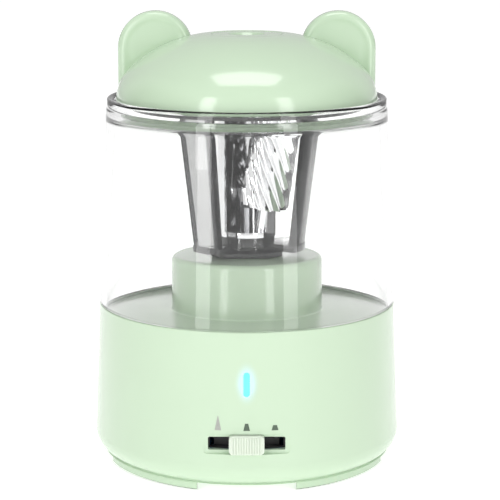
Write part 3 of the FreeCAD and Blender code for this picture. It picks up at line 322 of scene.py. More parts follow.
CORNER_TOP = SHELL_FOOT + 5.6 * MM
turned_normals(base_shell, CORNER_TOP, SEAM - 0.5 * MM,
               lambda height: (1.0, (BASE_RADIUS - SEAM_RADIUS) / (SEAM - CORNER_TOP)))

# The light shines through the thin wall round its slot, painted as a blue glow in the shell's plastic there.
shell_plastic = mint_plastic.copy()
shell_plastic.name = "mint_plastic_lit"
glow_tree = shell_plastic.node_tree
shader = next(n for n in glow_tree.nodes if n.type == "BSDF_PRINCIPLED")
place = add(glow_tree, "ShaderNodeTexCoord").outputs["Object"]
lens_middle = (lens_low + lens_high) / 2
from_lens = add(glow_tree, "ShaderNodeMapping", {"Vector": place, "Location": -lens_middle})
flat = add(glow_tree, "ShaderNodeVectorMath", {0: from_lens.outputs[0], 1: (1.0, 1.0, 0.55)},
           operation="MULTIPLY")
distance = add(glow_tree, "ShaderNodeVectorMath", {0: flat.outputs[0]}, operation="LENGTH")
near = add(glow_tree, "ShaderNodeMapRange", {"Value": distance.outputs["Value"], "From Min": 0.9 * MM,
                                             "From Max": 4.6 * MM, "To Min": 1.0, "To Max": 0.0},
           interpolation_type="SMOOTHERSTEP")
fade = add(glow_tree, "ShaderNodeMath", {0: near.outputs[0], 1: 2.4}, operation="POWER")
painted_glow = add(glow_tree, "ShaderNodeMath", {0: fade.outputs[0], 1: 0.75}, operation="MULTIPLY")
# Painted glow: blue emission that fades out with distance from the light's middle.
shader.inputs["Emission Color"].default_value = (0.12, 0.35, 1.0, 1)
glow_tree.links.new(painted_glow.outputs[0], shader.inputs["Emission Strength"])
finish_piece(base_shell, "base", "mint_plastic", shell_plastic, "base_shell")

# ---- Light ----
# A clear pipe pressed into the slot carries the blue light of the board behind it to the wall.

lens = block("light_pipe", (lens_low.x + 0.02 * MM, lens_low.y + 0.1 * MM, lens_low.z + 0.02 * MM),
             (lens_high.x - 0.02 * MM, lens_high.y, lens_high.z - 0.02 * MM), 0.79 * MM, 1)
soften(lens, 0.15 * MM)
blue_light = bpy.data.materials.new("blue_light")
tree = tree_of(blue_light)
place = add(tree, "ShaderNodeTexCoord").outputs["Object"]
inner = add(tree, "ShaderNodeTexNoise", {"Vector": place, "Scale": 600.0})
strength = add(tree, "ShaderNodeMapRange", {"Value": inner.outputs["Fac"], "To Min": 2.6, "To Max": 3.6})
shine = add(tree, "ShaderNodeBsdfPrincipled", {"Base Color": (0.05, 0.2, 0.9, 1), "Roughness": 0.3,
                                               "Emission Color": (0.05, 0.33, 1.0, 1),
                                               "Emission Strength": strength.outputs[0]})
add(tree, "ShaderNodeOutputMaterial", {"Surface": shine.outputs[0]})
finish_piece(lens, "base", "blue_light", blue_light, "led_lens")

# ---- Tip marks ----
# Three small marks pad-printed above the selector: a fine point, a medium one and a blunt one.


def wall_radius(height):
    return BASE_RADIUS - (BASE_RADIUS - SEAM_RADIUS) * (height - CORNER_TOP) / (SEAM - CORNER_TOP)


def printed_mark(name, middle, bottom, low_width, high_width, height):
    """A thin tapering patch of ink that follows the wall."""
    mesh = bmesh.new()
    steps = 6
    film = 0.02 * MM
    layers = []
    for lift in (0.0, film):
        rows = []
        for row in range(steps + 1):
            share = row / steps
            half = (low_width + (high_width - low_width) * share) / 2
            z = bottom + height * share
            radius = wall_radius(z) + 0.01 * MM + lift
            rows.append([mesh.verts.new((x, -math.sqrt(radius ** 2 - x * x), z))
                         for x in (middle - half, middle, middle + half)])
        layers.append(rows)
    inner, outer = layers
    for row in range(steps):
        for column in range(2):
            for rows in layers:
                mesh.faces.new((rows[row][column], rows[row][column + 1], rows[row + 1][column + 1],
                                rows[row + 1][column]))
        for column in (0, 2):
            mesh.faces.new((inner[row][column], inner[row + 1][column], outer[row + 1][column],
                            outer[row][column]))
    for row in (0, steps):
        for column in range(2):
            mesh.faces.new((inner[row][column], inner[row][column + 1], outer[row][column + 1],
                            outer[row][column]))
    bmesh.ops.recalc_face_normals(mesh, faces=mesh.faces)
    data = bpy.data.meshes.new(name)
    mesh.to_mesh(data)
    mesh.free()
    return link_mesh(name, data)


def ink(name, colour):
    material = bpy.data.materials.new(name)
    tree = tree_of(material)
    place = add(tree, "ShaderNodeTexCoord").outputs["Object"]
    speckle = add(tree, "ShaderNodeTexNoise", {"Vector": place, "Scale": 2500.0})
    thin = add(tree, "ShaderNodeMix", {0: speckle.outputs["Fac"], 6: (*colour, 1),
                                       7: (*(c * 1.25 for c in colour), 1)}, data_type="RGBA")
    shader = add(tree, "ShaderNodeBsdfPrincipled", {"Base Color": thin.outputs[2], "Roughness": 0.45})
    add(tree, "ShaderNodeOutputMaterial", {"Surface": shader.outputs[0]})
    return material


dark_ink = ink("dark_ink", (0.075, 0.11, 0.075))
pale_ink = ink("pale_ink", (0.33, 0.34, 0.31))
MARK_BASE = knob_middle + 3.7 * MM
MARKS = {"fine": (-7.4, 1.7, 0.12, 3.8, pale_ink), "medium": (0.0, 1.7, 0.8, 1.9, dark_ink),
         "blunt": (7.3, 1.8, 1.0, 1.35, dark_ink)}
for word, (across, low_width, high_width, height, colour) in MARKS.items():
    mark = printed_mark("tip_mark_" + word, across * MM, MARK_BASE, low_width * MM, high_width * MM,
                        height * MM)
    finish_piece(mark, "base", "dark_plastic", colour)

# ---- Selector knob ----
# A sliding thumb knob in paler ABS, with moulded grip ribs across its proud face.

pale_plastic = moulded("pale_mint_plastic", (0.70, 0.77, 0.66), roughness=0.3, coat=0.1)
grip_back = recess_floor - 0.15 * MM
grip = block("knob_body", (knob_low.x, knob_low.y + 0.45 * MM, knob_low.z),
             (knob_high.x, grip_back, knob_high.z), 1.1 * MM, 1)
stem = block("knob_stem", (-3 * MM, grip_back - 0.5 * MM, knob_middle - 1.5 * MM),
             (3 * MM, knob_high.y, knob_middle + 1.5 * MM))
carve(grip, stem, operation="UNION")
soften(grip, 0.18 * MM)
finish_piece(grip, "selector", "mint_plastic", pale_plastic, "selector_knob")


def node_group(name, sockets):
    """A geometry tree with named inputs (name, kind, value) and one geometry in and out."""
    tree = bpy.data.node_groups.new(name, "GeometryNodeTree")
    tree.interface.new_socket("Geometry", in_out="INPUT", socket_type="NodeSocketGeometry")
    tree.interface.new_socket("Geometry", in_out="OUTPUT", socket_type="NodeSocketGeometry")
    for label, kind, value in sockets:
        socket = tree.interface.new_socket(label, in_out="INPUT", socket_type="NodeSocket" + kind)
        if kind != "Material":
            socket.default_value = value
    return tree


def grow(name, tree, values):
    """Run a geometry tree on an empty mesh with its inputs set by identifier, and keep the result."""
    item = link_mesh(name, bpy.data.meshes.new(name))
    step = item.modifiers.new("grow", "NODES")
    step.node_group = tree
    for socket in tree.interface.items_tree:
        if socket.in_out == "INPUT" and socket.name in values:
            step[socket.identifier] = values[socket.name]
    return apply_modifiers(item)


def close_tree(tree, geometry, inputs):
    """End a tree: real geometry with its material."""
    real = add(tree, "GeometryNodeRealizeInstances", {0: geometry})
    painted = add(tree, "GeometryNodeSetMaterial", {"Geometry": real.outputs[0],
                                                    "Material": inputs["Material"]})
    add(tree, "NodeGroupOutput", {0: painted.outputs[0]})


ribs = node_group("grip_ribs", [("Count", "Int", 13), ("Pitch", "Float", 0.00068), ("Height", "Float", 0.004),
                                ("Radius", "Float", 0.00024), ("Start", "Vector", (0, 0, 0)),
                                ("Material", "Material", None)])
given = add(ribs, "NodeGroupInput").outputs
step_along = add(ribs, "ShaderNodeCombineXYZ", {"X": given["Pitch"]})
line = add(ribs, "GeometryNodeMeshLine", {"Count": given["Count"], "Start Location": given["Start"],
                                          "Offset": step_along.outputs[0]})
rib = add(ribs, "GeometryNodeMeshCylinder", {"Vertices": 12, "Radius": given["Radius"],
                                             "Depth": given["Height"]})
row = add(ribs, "GeometryNodeInstanceOnPoints", {"Points": line.outputs[0], "Instance": rib.outputs[0]})
close_tree(ribs, row.outputs[0], given)
RIBS = 12
pitch = (knob_high.x - knob_low.x - 1.7 * MM) / (RIBS - 1)
rib_start = (knob_low.x + 0.85 * MM, knob_low.y + 0.42 * MM, knob_middle)
rib_height = knob_high.z - knob_low.z - 0.5 * MM
knob_ribs = grow("knob_ribs", ribs, {"Count": RIBS, "Pitch": pitch, "Height": rib_height,
                                     "Radius": 0.26 * MM, "Start": rib_start, "Material": pale_plastic})
soften(knob_ribs, 0.05 * MM)
finish_piece(knob_ribs, "selector", "mint_plastic", pale_plastic)

# ---- Deck and turret ----
# One glossy moulding closes the base: a flat deck sunk just under the rim and the round turret
# that holds the spindle's bush, joined by a tight inside corner.

deck_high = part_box("deck_turret")[1]
TURRET_RADIUS = 20.47 * MM
DECK = SEAM - 0.6 * MM
TURRET = deck_high.z
bush_low, bush_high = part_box("spindle_upper_bush")
edge = 0.3 * MM
outline = [(deck_high.x - 1.5 * MM, DECK - 3 * MM), (deck_high.x, DECK - 3 * MM)]
outline += arc((deck_high.x - edge, DECK - edge), edge, 0, 90, 5)
outline += arc((TURRET_RADIUS + 0.5 * MM, DECK + 0.5 * MM), 0.5 * MM, 270, 180, 6)
outline += arc((TURRET_RADIUS - 1.5 * MM, TURRET - 1.5 * MM), 1.5 * MM, 0, 90, 12)
outline += [(bush_high.x - 1.5 * MM, TURRET), (bush_high.x - 1.5 * MM, TURRET - 2 * MM),
            (TURRET_RADIUS - 2 * MM, TURRET - 2 * MM), (TURRET_RADIUS - 2 * MM, DECK - 2 * MM),
            (deck_high.x - 1.5 * MM, DECK - 2 * MM)]
deck_skin = lathe("deck_skin", outline)
finish_piece(deck_skin, "base", "mint_plastic", mint_plastic, "deck_turret")


def merged_copy(node, name, flat=0.4):
    """A copy of a frame part's mesh, with its corners merged and its flat faces made whole."""
    mesh = bmesh.new()
    mesh.from_mesh(frame["nodes"][node].data)
    bmesh.ops.remove_doubles(mesh, verts=mesh.verts, dist=2e-6)
    bmesh.ops.dissolve_limit(mesh, angle_limit=math.radians(flat), verts=mesh.verts, edges=mesh.edges)
    data = bpy.data.meshes.new(name)
    mesh.to_mesh(data)
    mesh.free()
    return smooth(link_mesh(name, data))


# The posts, standoffs and rails under the deck are part of the same moulding.
deck_posts = merged_copy("deck_turret", "deck_posts")
inner_space = lathe("inner_space", [(0, plate_low.z), (deck_high.x - 2.2 * MM, plate_low.z),
                                    (deck_high.x - 2.2 * MM, DECK - 2.0 * MM), (0, DECK - 2.0 * MM)])
carve(deck_posts, inner_space, operation="INTERSECT")
smooth(deck_posts, 30)
finish_piece(deck_posts, "base", "mint_plastic", mint_plastic)

# ---- Clear bin ----
# A thick tapering tube of clear acrylic. Its foot plugs into the base's rim, and a rounded
# shoulder at the top seats the cap.

BIN_TOP = bin_high.z
RIM = BIN_TOP - 1.6 * MM
SHOULDER_RADIUS = SEAM_RADIUS - 2.4 * MM
CAP_RADIUS = SHOULDER_RADIUS - 2.8 * MM
wall = 2.35 * MM
tongue_out = SEAM_RADIUS - 1.35 * MM
tongue_in = tongue_out - 0.8 * MM
outline = [(tongue_in, bin_low.z), (tongue_out, bin_low.z), (tongue_out, SEAM + 0.02 * MM)]
outline += arc((SEAM_RADIUS - rim_round, SEAM + 0.02 * MM + rim_round), rim_round, -90, -2, 5)
outline += arc((SHOULDER_RADIUS - 2.6 * MM, RIM - 2.2 * MM), 2.6 * MM, 0, 30, 5)
outline += arc((CAP_RADIUS + 1.6 * MM, BIN_TOP - 1.1 * MM), 1.1 * MM, 38, 165, 10)
outline += [(CAP_RADIUS + 0.3 * MM, BIN_TOP - 1.2 * MM), (CAP_RADIUS + 0.3 * MM, RIM),
            (CAP_RADIUS - 2.3 * MM, RIM)]
outline += arc((CAP_RADIUS - 1.8 * MM, RIM - 1.8 * MM), 0.5 * MM, 180, 250, 4)
outline += arc((SHOULDER_RADIUS - wall - 2.2 * MM, RIM - 5.2 * MM), 2.2 * MM, 62, 0, 8)
outline += [(SEAM_RADIUS - wall, DECK + 0.2 * MM), (tongue_in, DECK + 0.2 * MM)]
bin_wall = lathe("bin_wall", outline)
smooth(bin_wall, 50)

clear_plastic = bpy.data.materials.new("clear_plastic")
tree = tree_of(clear_plastic)
place = add(tree, "ShaderNodeTexCoord").outputs["Object"]
flow = add(tree, "ShaderNodeTexNoise", {"Vector": place, "Scale": 60.0, "Detail": 1.0})
bump = add(tree, "ShaderNodeBump", {"Height": flow.outputs["Fac"], "Strength": 0.02, "Distance": 0.0002})
handled = add(tree, "ShaderNodeMapRange", {"Value": flow.outputs["Fac"], "To Min": 0.0, "To Max": 0.03})
acrylic = add(tree, "ShaderNodeBsdfPrincipled", {
    "Base Color": (0.985, 0.99, 0.985, 1), "Roughness": handled.outputs[0], "IOR": 1.45,
    "Transmission Weight": 1.0, "Normal": bump.outputs[0]})
add(tree, "ShaderNodeOutputMaterial", {"Surface": acrylic.outputs[0]})
finish_piece(bin_wall, "bin", "clear_plastic", clear_plastic, "shavings_bin")

# ---- Cap ----
# A domed shell in the same mint ABS with two upright round ears behind the pencil hole and a
# shallow dish round the hole. The outline is a tight corner arc and a flatter crown arc.

ear_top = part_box("cap_dome")[1].z
CORNER, CROWN, SWEEP = 12 * MM, 34 * MM, 46.5
corner_centre = (CAP_RADIUS - CORNER, RIM + 0.5 * MM)
slant = math.radians(SWEEP)
crown_centre = (corner_centre[0] + (CORNER - CROWN) * math.cos(slant),
                corner_centre[1] + (CORNER - CROWN) * math.sin(slant))
DISH = 10.2 * MM
dish_angle = math.degrees(math.acos((DISH - crown_centre[0]) / CROWN))
guide_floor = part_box("pencil_guide")[1].z - 0.8 * MM
cap_wall = 2.4 * MM
lip = crown_centre[1] + CROWN * math.sin(math.radians(dish_angle))
outline = [(CAP_RADIUS - cap_wall, RIM + 0.02 * MM), (CAP_RADIUS - 0.3 * MM, RIM + 0.02 * MM)]
outline += arc((CAP_RADIUS - 0.3 * MM, RIM + 0.32 * MM), 0.3 * MM, -60, 0, 4)
outline += arc(corner_centre, CORNER, 0, SWEEP, 18)
outline += arc(crown_centre, CROWN, SWEEP, dish_angle - 0.6, 28)[1:]
outline += arc((DISH - 0.25 * MM, lip - 0.45 * MM), 0.42 * MM, 70, 165, 6)
outline += [(DISH - 0.8 * MM, guide_floor + 0.02 * MM), (7.4 * MM, guide_floor),
            (7.4 * MM, guide_floor - 1.4 * MM)]
outline += arc(crown_centre, CROWN - cap_wall, 90, SWEEP, 18)[1:]
outline += arc(corner_centre, CORNER - cap_wall, SWEEP, 0, 12)[1:]
dome = lathe("dome_skin", outline)
smooth(dome, 35)
finish_piece(dome, "cap", "mint_plastic", mint_plastic, "cap_dome")

# Inside, a boss holds the guide's bush and three posts take the head plate's screws.
plate_ring_low, plate_ring_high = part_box("head_plate")
bush_low, bush_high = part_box("guide_bush")
boss_radius = bush_high.x + 2.2 * MM
boss_top = crown_centre[1] + CROWN - cap_wall - 1.5 * MM
boss = lathe("bush_boss", [(bush_high.x, bush_low.z), (boss_radius, bush_low.z), (boss_radius, boss_top),
                           (bush_high.x, boss_top)], 96)
finish_piece(boss, "cap", "mint_plastic", mint_plastic)
HEAD_CIRCLE = plate_ring_high.x - 4.2 * MM
PILOT, POST_RADIUS = 0.95 * MM, 2.75 * MM
post_foot, post_top = plate_ring_high.z, plate_ring_high.z + 7.5 * MM
for index in range(3):
    post = lathe("head_post_" + str(index + 1), [(PILOT, post_foot), (POST_RADIUS, post_foot),
                                                 (POST_RADIUS, post_top), (PILOT, post_top)], 32)
    turn = math.radians(90 + 120 * index)
    post.data.transform(Matrix.Translation((HEAD_CIRCLE * math.cos(turn), HEAD_CIRCLE * math.sin(turn), 0)))
    finish_piece(post, "cap", "mint_plastic", mint_plastic)

ear_low_z = RIM + 2 * MM
EAR_RADIUS = 10.2 * MM
EAR_ACROSS = CAP_RADIUS - EAR_RADIUS - 0.3 * MM
EAR_MIDDLE, EAR_THICK = 5.5 * MM, 6 * MM
for side, word in ((-1, "left"), (1, "right")):
    mesh = bmesh.new()
    centre = Vector((side * EAR_ACROSS, 0, ear_top - EAR_RADIUS))
    loops = []
    ROUND = 1.9 * MM
    for inset, depth in ([(3.4 * MM, 0.5 * MM), (2.3 * MM, 0.12 * MM), (ROUND, 0.0)]
                         + [(ROUND * (1 - math.sin(a)), ROUND * (1 - math.cos(a)))
                            for a in (math.radians(15 * k) for k in range(1, 7))]):
        loops.append((EAR_RADIUS - inset, EAR_MIDDLE - EAR_THICK / 2 + depth))
    loops += [(radius, 2 * EAR_MIDDLE - y) for radius, y in reversed(loops)]
    rings = []
    for radius, y in loops:
        points = [(centre.x + radius * math.cos(math.radians(a)), y,
                   centre.z + radius * math.sin(math.radians(a))) for a in range(0, 181, 5)]
        points = [(centre.x + radius, y, ear_low_z)] + points + [(centre.x - radius, y, ear_low_z)]
        rings.append([mesh.verts.new(p) for p in points])
    for ring, after in zip(rings, rings[1:]):
        count = len(ring)
        for index in range(count):
            mesh.faces.new((ring[index], ring[(index + 1) % count], after[(index + 1) % count], after[index]))
    mesh.faces.new(rings[0])
    mesh.faces.new(rings[-1])
    bmesh.ops.recalc_face_normals(mesh, faces=mesh.faces)
    data = bpy.data.meshes.new("ear_" + word)
    mesh.to_mesh(data)
    mesh.free()
    ear = link_mesh("ear_" + word, data)
    inside = lathe("cap_inside", [(0, RIM - MM), (CAP_RADIUS - cap_wall + 0.3 * MM, RIM - MM)]
                   + arc(corner_centre, CORNER - cap_wall + 0.3 * MM, 0, SWEEP, 12)
                   + arc(crown_centre, CROWN - cap_wall + 0.3 * MM, SWEEP, 90, 12)[1:]
                   + [(0, crown_centre[1] + CROWN - cap_wall + 0.3 * MM)])
    carve(ear, inside, solver="MANIFOLD")
    smooth(ear, 30)
    finish_piece(ear, "cap", "mint_plastic", mint_plastic)

# ---- Guide bush and pencil guide ----
# A collar pressed into the dish leads the pencil down the hole. Under it a bronze bush carries
# the cutter head's guide tube.

guide = merged_copy("pencil_guide", "pencil_collar")
soften(guide, 0.12 * MM)
finish_piece(guide, "cap", "mint_plastic", mint_plastic, "pencil_guide")


def metal(name, colour, roughness, lines=0.0, stretch=(1, 1, 1), coarse=400.0):
    """Machined metal: faint tool lines stretched along one way, and uneven polish."""
    material = bpy.data.materials.new(name)
    tree = tree_of(material)
    place = add(tree, "ShaderNodeTexCoord").outputs["Object"]
    grained = add(tree, "ShaderNodeMapping", {"Vector": place, "Scale": stretch}).outputs[0]
    grain = add(tree, "ShaderNodeTexNoise", {"Vector": grained, "Scale": coarse, "Detail": 4.0})
    cloud = add(tree, "ShaderNodeTexNoise", {"Vector": place, "Scale": 90.0})
    polish = add(tree, "ShaderNodeMapRange", {"Value": cloud.outputs["Fac"], "To Min": roughness * 0.8,
                                              "To Max": roughness * 1.3})
    dull = tuple(c * 0.9 for c in colour)
    tone = add(tree, "ShaderNodeMix", {0: grain.outputs["Fac"], 6: (*dull, 1), 7: (*colour, 1)},
               data_type="RGBA")
    bump = add(tree, "ShaderNodeBump", {"Height": grain.outputs["Fac"], "Strength": lines,
                                        "Distance": 0.0001})
    shader = add(tree, "ShaderNodeBsdfPrincipled", {
        "Base Color": tone.outputs[2], "Metallic": 1.0, "Roughness": polish.outputs[0],
        "Normal": bump.outputs[0]})
    add(tree, "ShaderNodeOutputMaterial", {"Surface": shader.outputs[0]})
    return material


bronze = metal("sintered_bronze", (0.52, 0.36, 0.18), 0.4, 0.12)
frame["nodes"]["guide_bush"].data.materials[0] = bronze

# ---- Head plate and ring gear ----
# A black plate closes the cap below and carries the internal bevel gear, moulded in acetal, that
# the cutter's pinion rolls round.

black_plastic = moulded("gloss_black", (0.010, 0.010, 0.011), roughness=0.10, coat=0.6, mottle=0.2)
grey_acetal = moulded("grey_acetal", (0.22, 0.22, 0.21), roughness=0.35, coat=0.0, mottle=0.08)
plate = merged_copy("head_plate", "head_plate_disc")
soften(plate, 0.2 * MM)
finish_piece(plate, "cap", "black_plastic", black_plastic, "head_plate")
ring = merged_copy("ring_gear", "ring_gear_teeth")
smooth(ring, 28)
finish_piece(ring, "cap", "gear_plastic", grey_acetal, "ring_gear")

# ---- Screws ----
# Pan-head steel screws with a cross recess, driven upwards: four in the bottom plate, three in
# the head plate and three small ones in the ring gear. One geometry tree makes all three sets.

screw_tree = node_group("cross_screws", [
    ("Count", "Int", 4), ("Circle", "Float", 0.03), ("First", "Float", 0.0), ("Height", "Float", 0.0),
    ("Head Radius", "Float", 0.002), ("Head", "Float", 0.001), ("Shank Radius", "Float", 0.001),
    ("Length", "Float", 0.009), ("Material", "Material", None)])
given = add(screw_tree, "NodeGroupInput").outputs


def combine(tree, *terms, operation="ADD"):
    """The terms joined by one operation, from left to right."""
    total = terms[0]
    for term in terms[1:]:
        total = add(tree, "ShaderNodeMath", {0: total, 1: term}, operation=operation).outputs[0]
    return total


def raised(tree, geometry, height):
    """The geometry moved up by a height."""
    up = add(tree, "ShaderNodeCombineXYZ", {"Z": height})
    return add(tree, "GeometryNodeTransform", {"Geometry": geometry, "Translation": up.outputs[0]}).outputs[0]


half_head = combine(screw_tree, given["Head"], 0.5, operation="MULTIPLY")
half_shank = combine(screw_tree, given["Length"], 0.5, operation="MULTIPLY")
head = add(screw_tree, "GeometryNodeMeshCylinder", {"Vertices": 32, "Radius": given["Head Radius"],
                                                    "Depth": given["Head"]}).outputs["Mesh"]
shank = add(screw_tree, "GeometryNodeMeshCylinder", {"Vertices": 20, "Radius": given["Shank Radius"],
                                                     "Depth": given["Length"]}).outputs["Mesh"]
wide = combine(screw_tree, given["Head Radius"], 1.25, operation="MULTIPLY")
narrow = combine(screw_tree, given["Head Radius"], 0.3, operation="MULTIPLY")
bars = []
for length, breadth in ((wide, narrow), (narrow, wide)):
    size = add(screw_tree, "ShaderNodeCombineXYZ", {"X": length, "Y": breadth, "Z": given["Head"]})
    bars.append(add(screw_tree, "GeometryNodeMeshCube", {"Size": size.outputs[0]}).outputs["Mesh"])
sunk = combine(screw_tree, given["Head"], -0.4, operation="MULTIPLY")
recessed = add(screw_tree, "GeometryNodeMeshBoolean", {"Mesh 1": head}, operation="DIFFERENCE",
               solver="EXACT")
for bar in bars:
    screw_tree.links.new(raised(screw_tree, bar, sunk), recessed.inputs["Mesh 2"])
both = add(screw_tree, "GeometryNodeJoinGeometry")
screw_tree.links.new(raised(screw_tree, recessed.outputs["Mesh"], half_head), both.inputs[0])
shank_middle = combine(screw_tree, given["Head"], half_shank)
screw_tree.links.new(raised(screw_tree, shank, shank_middle), both.inputs[0])
circle = add(screw_tree, "GeometryNodeMeshCircle", {"Vertices": given["Count"], "Radius": given["Circle"]})
turned = add(screw_tree, "ShaderNodeCombineXYZ", {"Z": given["First"]})
spots = add(screw_tree, "GeometryNodeTransform", {"Geometry": circle.outputs[0],
                                                  "Rotation": turned.outputs[0]})
places = raised(screw_tree, spots.outputs[0], given["Height"])
set_out = add(screw_tree, "GeometryNodeInstanceOnPoints", {"Points": places, "Instance": both.outputs[0]})
close_tree(screw_tree, set_out.outputs[0], given)
screw_steel = metal("zinc_steel", (0.55, 0.55, 0.56), 0.28, 0.1)
plate_circle = plate_high.x - 7.9 * MM
ring_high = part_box("ring_gear")[1]

# Body, count, circle, first bearing, height; then in mm: head radius and height, shank radius, length.
SCREWS = {
    "plate_screws": ("base", 4, plate_circle, 45, plate_low.z + 2.0 * MM, 2.0, 1.0, 1.0, 9.0),
    "head_screws": ("cap", 3, HEAD_CIRCLE, 90, plate_ring_low.z, 1.9, 0.8, 0.9, 6.5),
    "ring_screws": ("cap", 3, ring_high.x - 1.4 * MM, 30, plate_ring_low.z, 1.2, 0.6, 0.6, 2.9),
}
for node, (body, count, circle_radius, first, base, *sizes) in SCREWS.items():
    head_radius, head_height, shank_radius, length = [size * MM for size in sizes]
    set_of_screws = grow(node + "_cross", screw_tree, {
        "Count": count, "Circle": circle_radius, "First": math.radians(first), "Height": base,
        "Head Radius": head_radius, "Head": head_height, "Shank Radius": shank_radius,
        "Length": length, "Material": screw_steel})
    smooth(set_of_screws, 30)
    finish_piece(set_of_screws, body, "screw_steel", screw_steel, node)

# ---- Bottom plate and feet ----
# The underside: a mint plate with raised foot arcs, each with a soft rubber pad let into it.

underside = merged_copy("bottom_plate", "bottom_cover")
soften(underside, 0.15 * MM)
finish_piece(underside, "base", "mint_plastic", mint_plastic, "bottom_plate")
rubber = moulded("soft_rubber", (0.035, 0.035, 0.037), roughness=0.75, grain=0.25, coat=0.0, mottle=0.25)
pads = merged_copy("rubber_feet", "foot_pads")
soften(pads, 0.12 * MM)
finish_piece(pads, "base", "rubber", rubber, "rubber_feet")

# ---- Cutter head ----
# The turning head is a polished steel tube with a window for the cutter, on a glossy black hub
# that plugs onto the drive. A disc on top closes the cap's opening.

polished = metal("polished_steel", (0.80, 0.80, 0.81), 0.09, 0.03, (1, 1, 0.15), 500.0)
sleeve = merged_copy("cutter_sleeve", "steel_tube")
soften(sleeve, 0.08 * MM)
finish_piece(sleeve, "carrier", "tool_steel", polished, "cutter_sleeve")
block_foot = merged_copy("lower_block", "tube_floor")
finish_piece(block_foot, "carrier", "steel", polished, "lower_block")
hub = merged_copy("carrier_hub", "head_hub")
soften(hub, 0.22 * MM)
finish_piece(hub, "carrier", "black_plastic", black_plastic, "carrier_hub")
drive = merged_copy("drive_plate", "drive_square")
soften(drive, 0.16 * MM)
finish_piece(drive, "spindle", "black_plastic", black_plastic, "drive_plate")
disc = merged_copy("carrier_head", "head_disc")
soften(disc, 0.15 * MM)
finish_piece(disc, "carrier", "black_plastic", black_plastic, "carrier_head")
axle = merged_copy("cutter_axle", "cutter_axle_pin")
finish_piece(axle, "carrier", "tool_steel", polished, "cutter_axle")
bridge = merged_copy("axle_bridge", "axle_arm")
soften(bridge, 0.15 * MM)
finish_piece(bridge, "carrier", "steel", polished, "axle_bridge")

# ---- Shavings guard ----
# Two arms of smoked polycarbonate stand on the hub's webs and throw the shavings outwards. Each
# is a sector of a cone, clear grey in the middle, with painted shade darkening its two upright edges.

hub_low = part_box("carrier_hub")[0]
disc_low, disc_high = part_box("carrier_head")
GUARD_LOW, GUARD_HIGH = hub_low.z + 1.8 * MM, disc_low.z
GUARD_FOOT, GUARD_TOP = 15.8 * MM, disc_high.x - 0.2 * MM
GUARD_WALL = 1.8 * MM


def smoked(name, start, sweep, left_painted_shade, right_painted_shade, grey):
    """Grey polycarbonate with painted shade that darkens it towards the arm's two upright edges."""
    material = bpy.data.materials.new(name)
    tree = tree_of(material)
    place = add(tree, "ShaderNodeTexCoord").outputs["Object"]
    middle = math.radians(start + sweep / 2)
    turned_back = add(tree, "ShaderNodeMapping", {"Vector": place, "Rotation": (0, 0, -middle)})
    split = add(tree, "ShaderNodeSeparateXYZ", {0: turned_back.outputs[0]})
    bearing = add(tree, "ShaderNodeMath", {0: split.outputs["Y"], 1: split.outputs["X"]}, operation="ARCTAN2")
    half = math.radians(sweep / 2)
    painted_shade_masks = []
    for side, depth in ((-1, left_painted_shade), (1, right_painted_shade)):
        share = add(tree, "ShaderNodeMapRange", {
            "Value": bearing.outputs[0], "From Min": side * (half - math.radians(depth)),
            "From Max": side * (half - math.radians(depth * 0.75)), "To Min": 0.0, "To Max": 1.0})
        painted_shade_masks.append(share.outputs[0])
    painted_edge_shade = add(tree, "ShaderNodeMath", {0: painted_shade_masks[0], 1: painted_shade_masks[1]}, operation="MAXIMUM")
    flow = add(tree, "ShaderNodeTexNoise", {"Vector": place, "Scale": 120.0})
    clouded = add(tree, "ShaderNodeMapRange", {"Value": flow.outputs["Fac"], "To Min": grey * 0.9,
                                               "To Max": grey * 1.1})
    grey_tone = add(tree, "ShaderNodeCombineColor", {"Red": clouded.outputs[0], "Green": clouded.outputs[0],
                                                     "Blue": clouded.outputs[0]})
    # Painted shade: the base colour goes to near black in a band at each upright edge.
    tone = add(tree, "ShaderNodeMix", {0: painted_edge_shade.outputs[0], 6: grey_tone.outputs[0],
                                       7: (0.012, 0.012, 0.013, 1)}, data_type="RGBA")
    shader = add(tree, "ShaderNodeBsdfPrincipled", {
        "Base Color": tone.outputs[2], "Roughness": 0.06, "IOR": 1.2, "Transmission Weight": 1.0})
    add(tree, "ShaderNodeOutputMaterial", {"Surface": shader.outputs[0]})
    return material


# Start and sweep in degrees, the painted shade's edge widths in degrees, and the middle's grey: smoke tint
# with painted light.
GUARDS = {"guard_right": (-38, 70, 13, 9, 0.25), "guard_left": (205, 38, 4, 7, 0.50)}
guard_outline = [(GUARD_FOOT - GUARD_WALL, GUARD_LOW), (GUARD_FOOT, GUARD_LOW),
                 (GUARD_TOP, GUARD_HIGH), (GUARD_TOP - GUARD_WALL, GUARD_HIGH)]
for node, (start, sweep, first_painted_shade, last_painted_shade, grey) in GUARDS.items():
    arm = lathe(node + "_arm", guard_outline, 40, start, sweep)
    soften(arm, 0.3 * MM)
    smoke = smoked(node + "_smoke", start, sweep, first_painted_shade, last_painted_shade, grey)
    finish_piece(arm, "carrier", "smoked_plastic", smoke, node)

# ---- Helical cutter ----
# A ground steel cutter with left-hand flutes, lying on the pencil's cone. The flutes come from
# one toothed outline swept up the axis while it twists.

spin = next(j for j in frame["record"]["behaviour"]["joints"] if j["name"] == "cutter_spin")
axis = Vector(spin["axis"]).normalized()
APEX = spin["pos_m"][2]
lean = math.acos(axis.z)
azimuth = math.atan2(axis.y, axis.x)
on_axis = (Matrix.Translation((0, 0, APEX)) @ Matrix.Rotation(azimuth, 4, "Z")
           @ Matrix.Rotation(lean, 4, "Y"))
CUTTER_RADIUS, FLUTE_DEPTH, FLUTES, HELIX = 6.5 * MM, 0.9 * MM, 14, 30
NECK_RADIUS, BORE_RADIUS = 3.2 * MM, 1.8 * MM
blade_low = 32.5 * MM
blade_high = (disc_low.z - 1.9 * MM - APEX) / math.cos(lean)

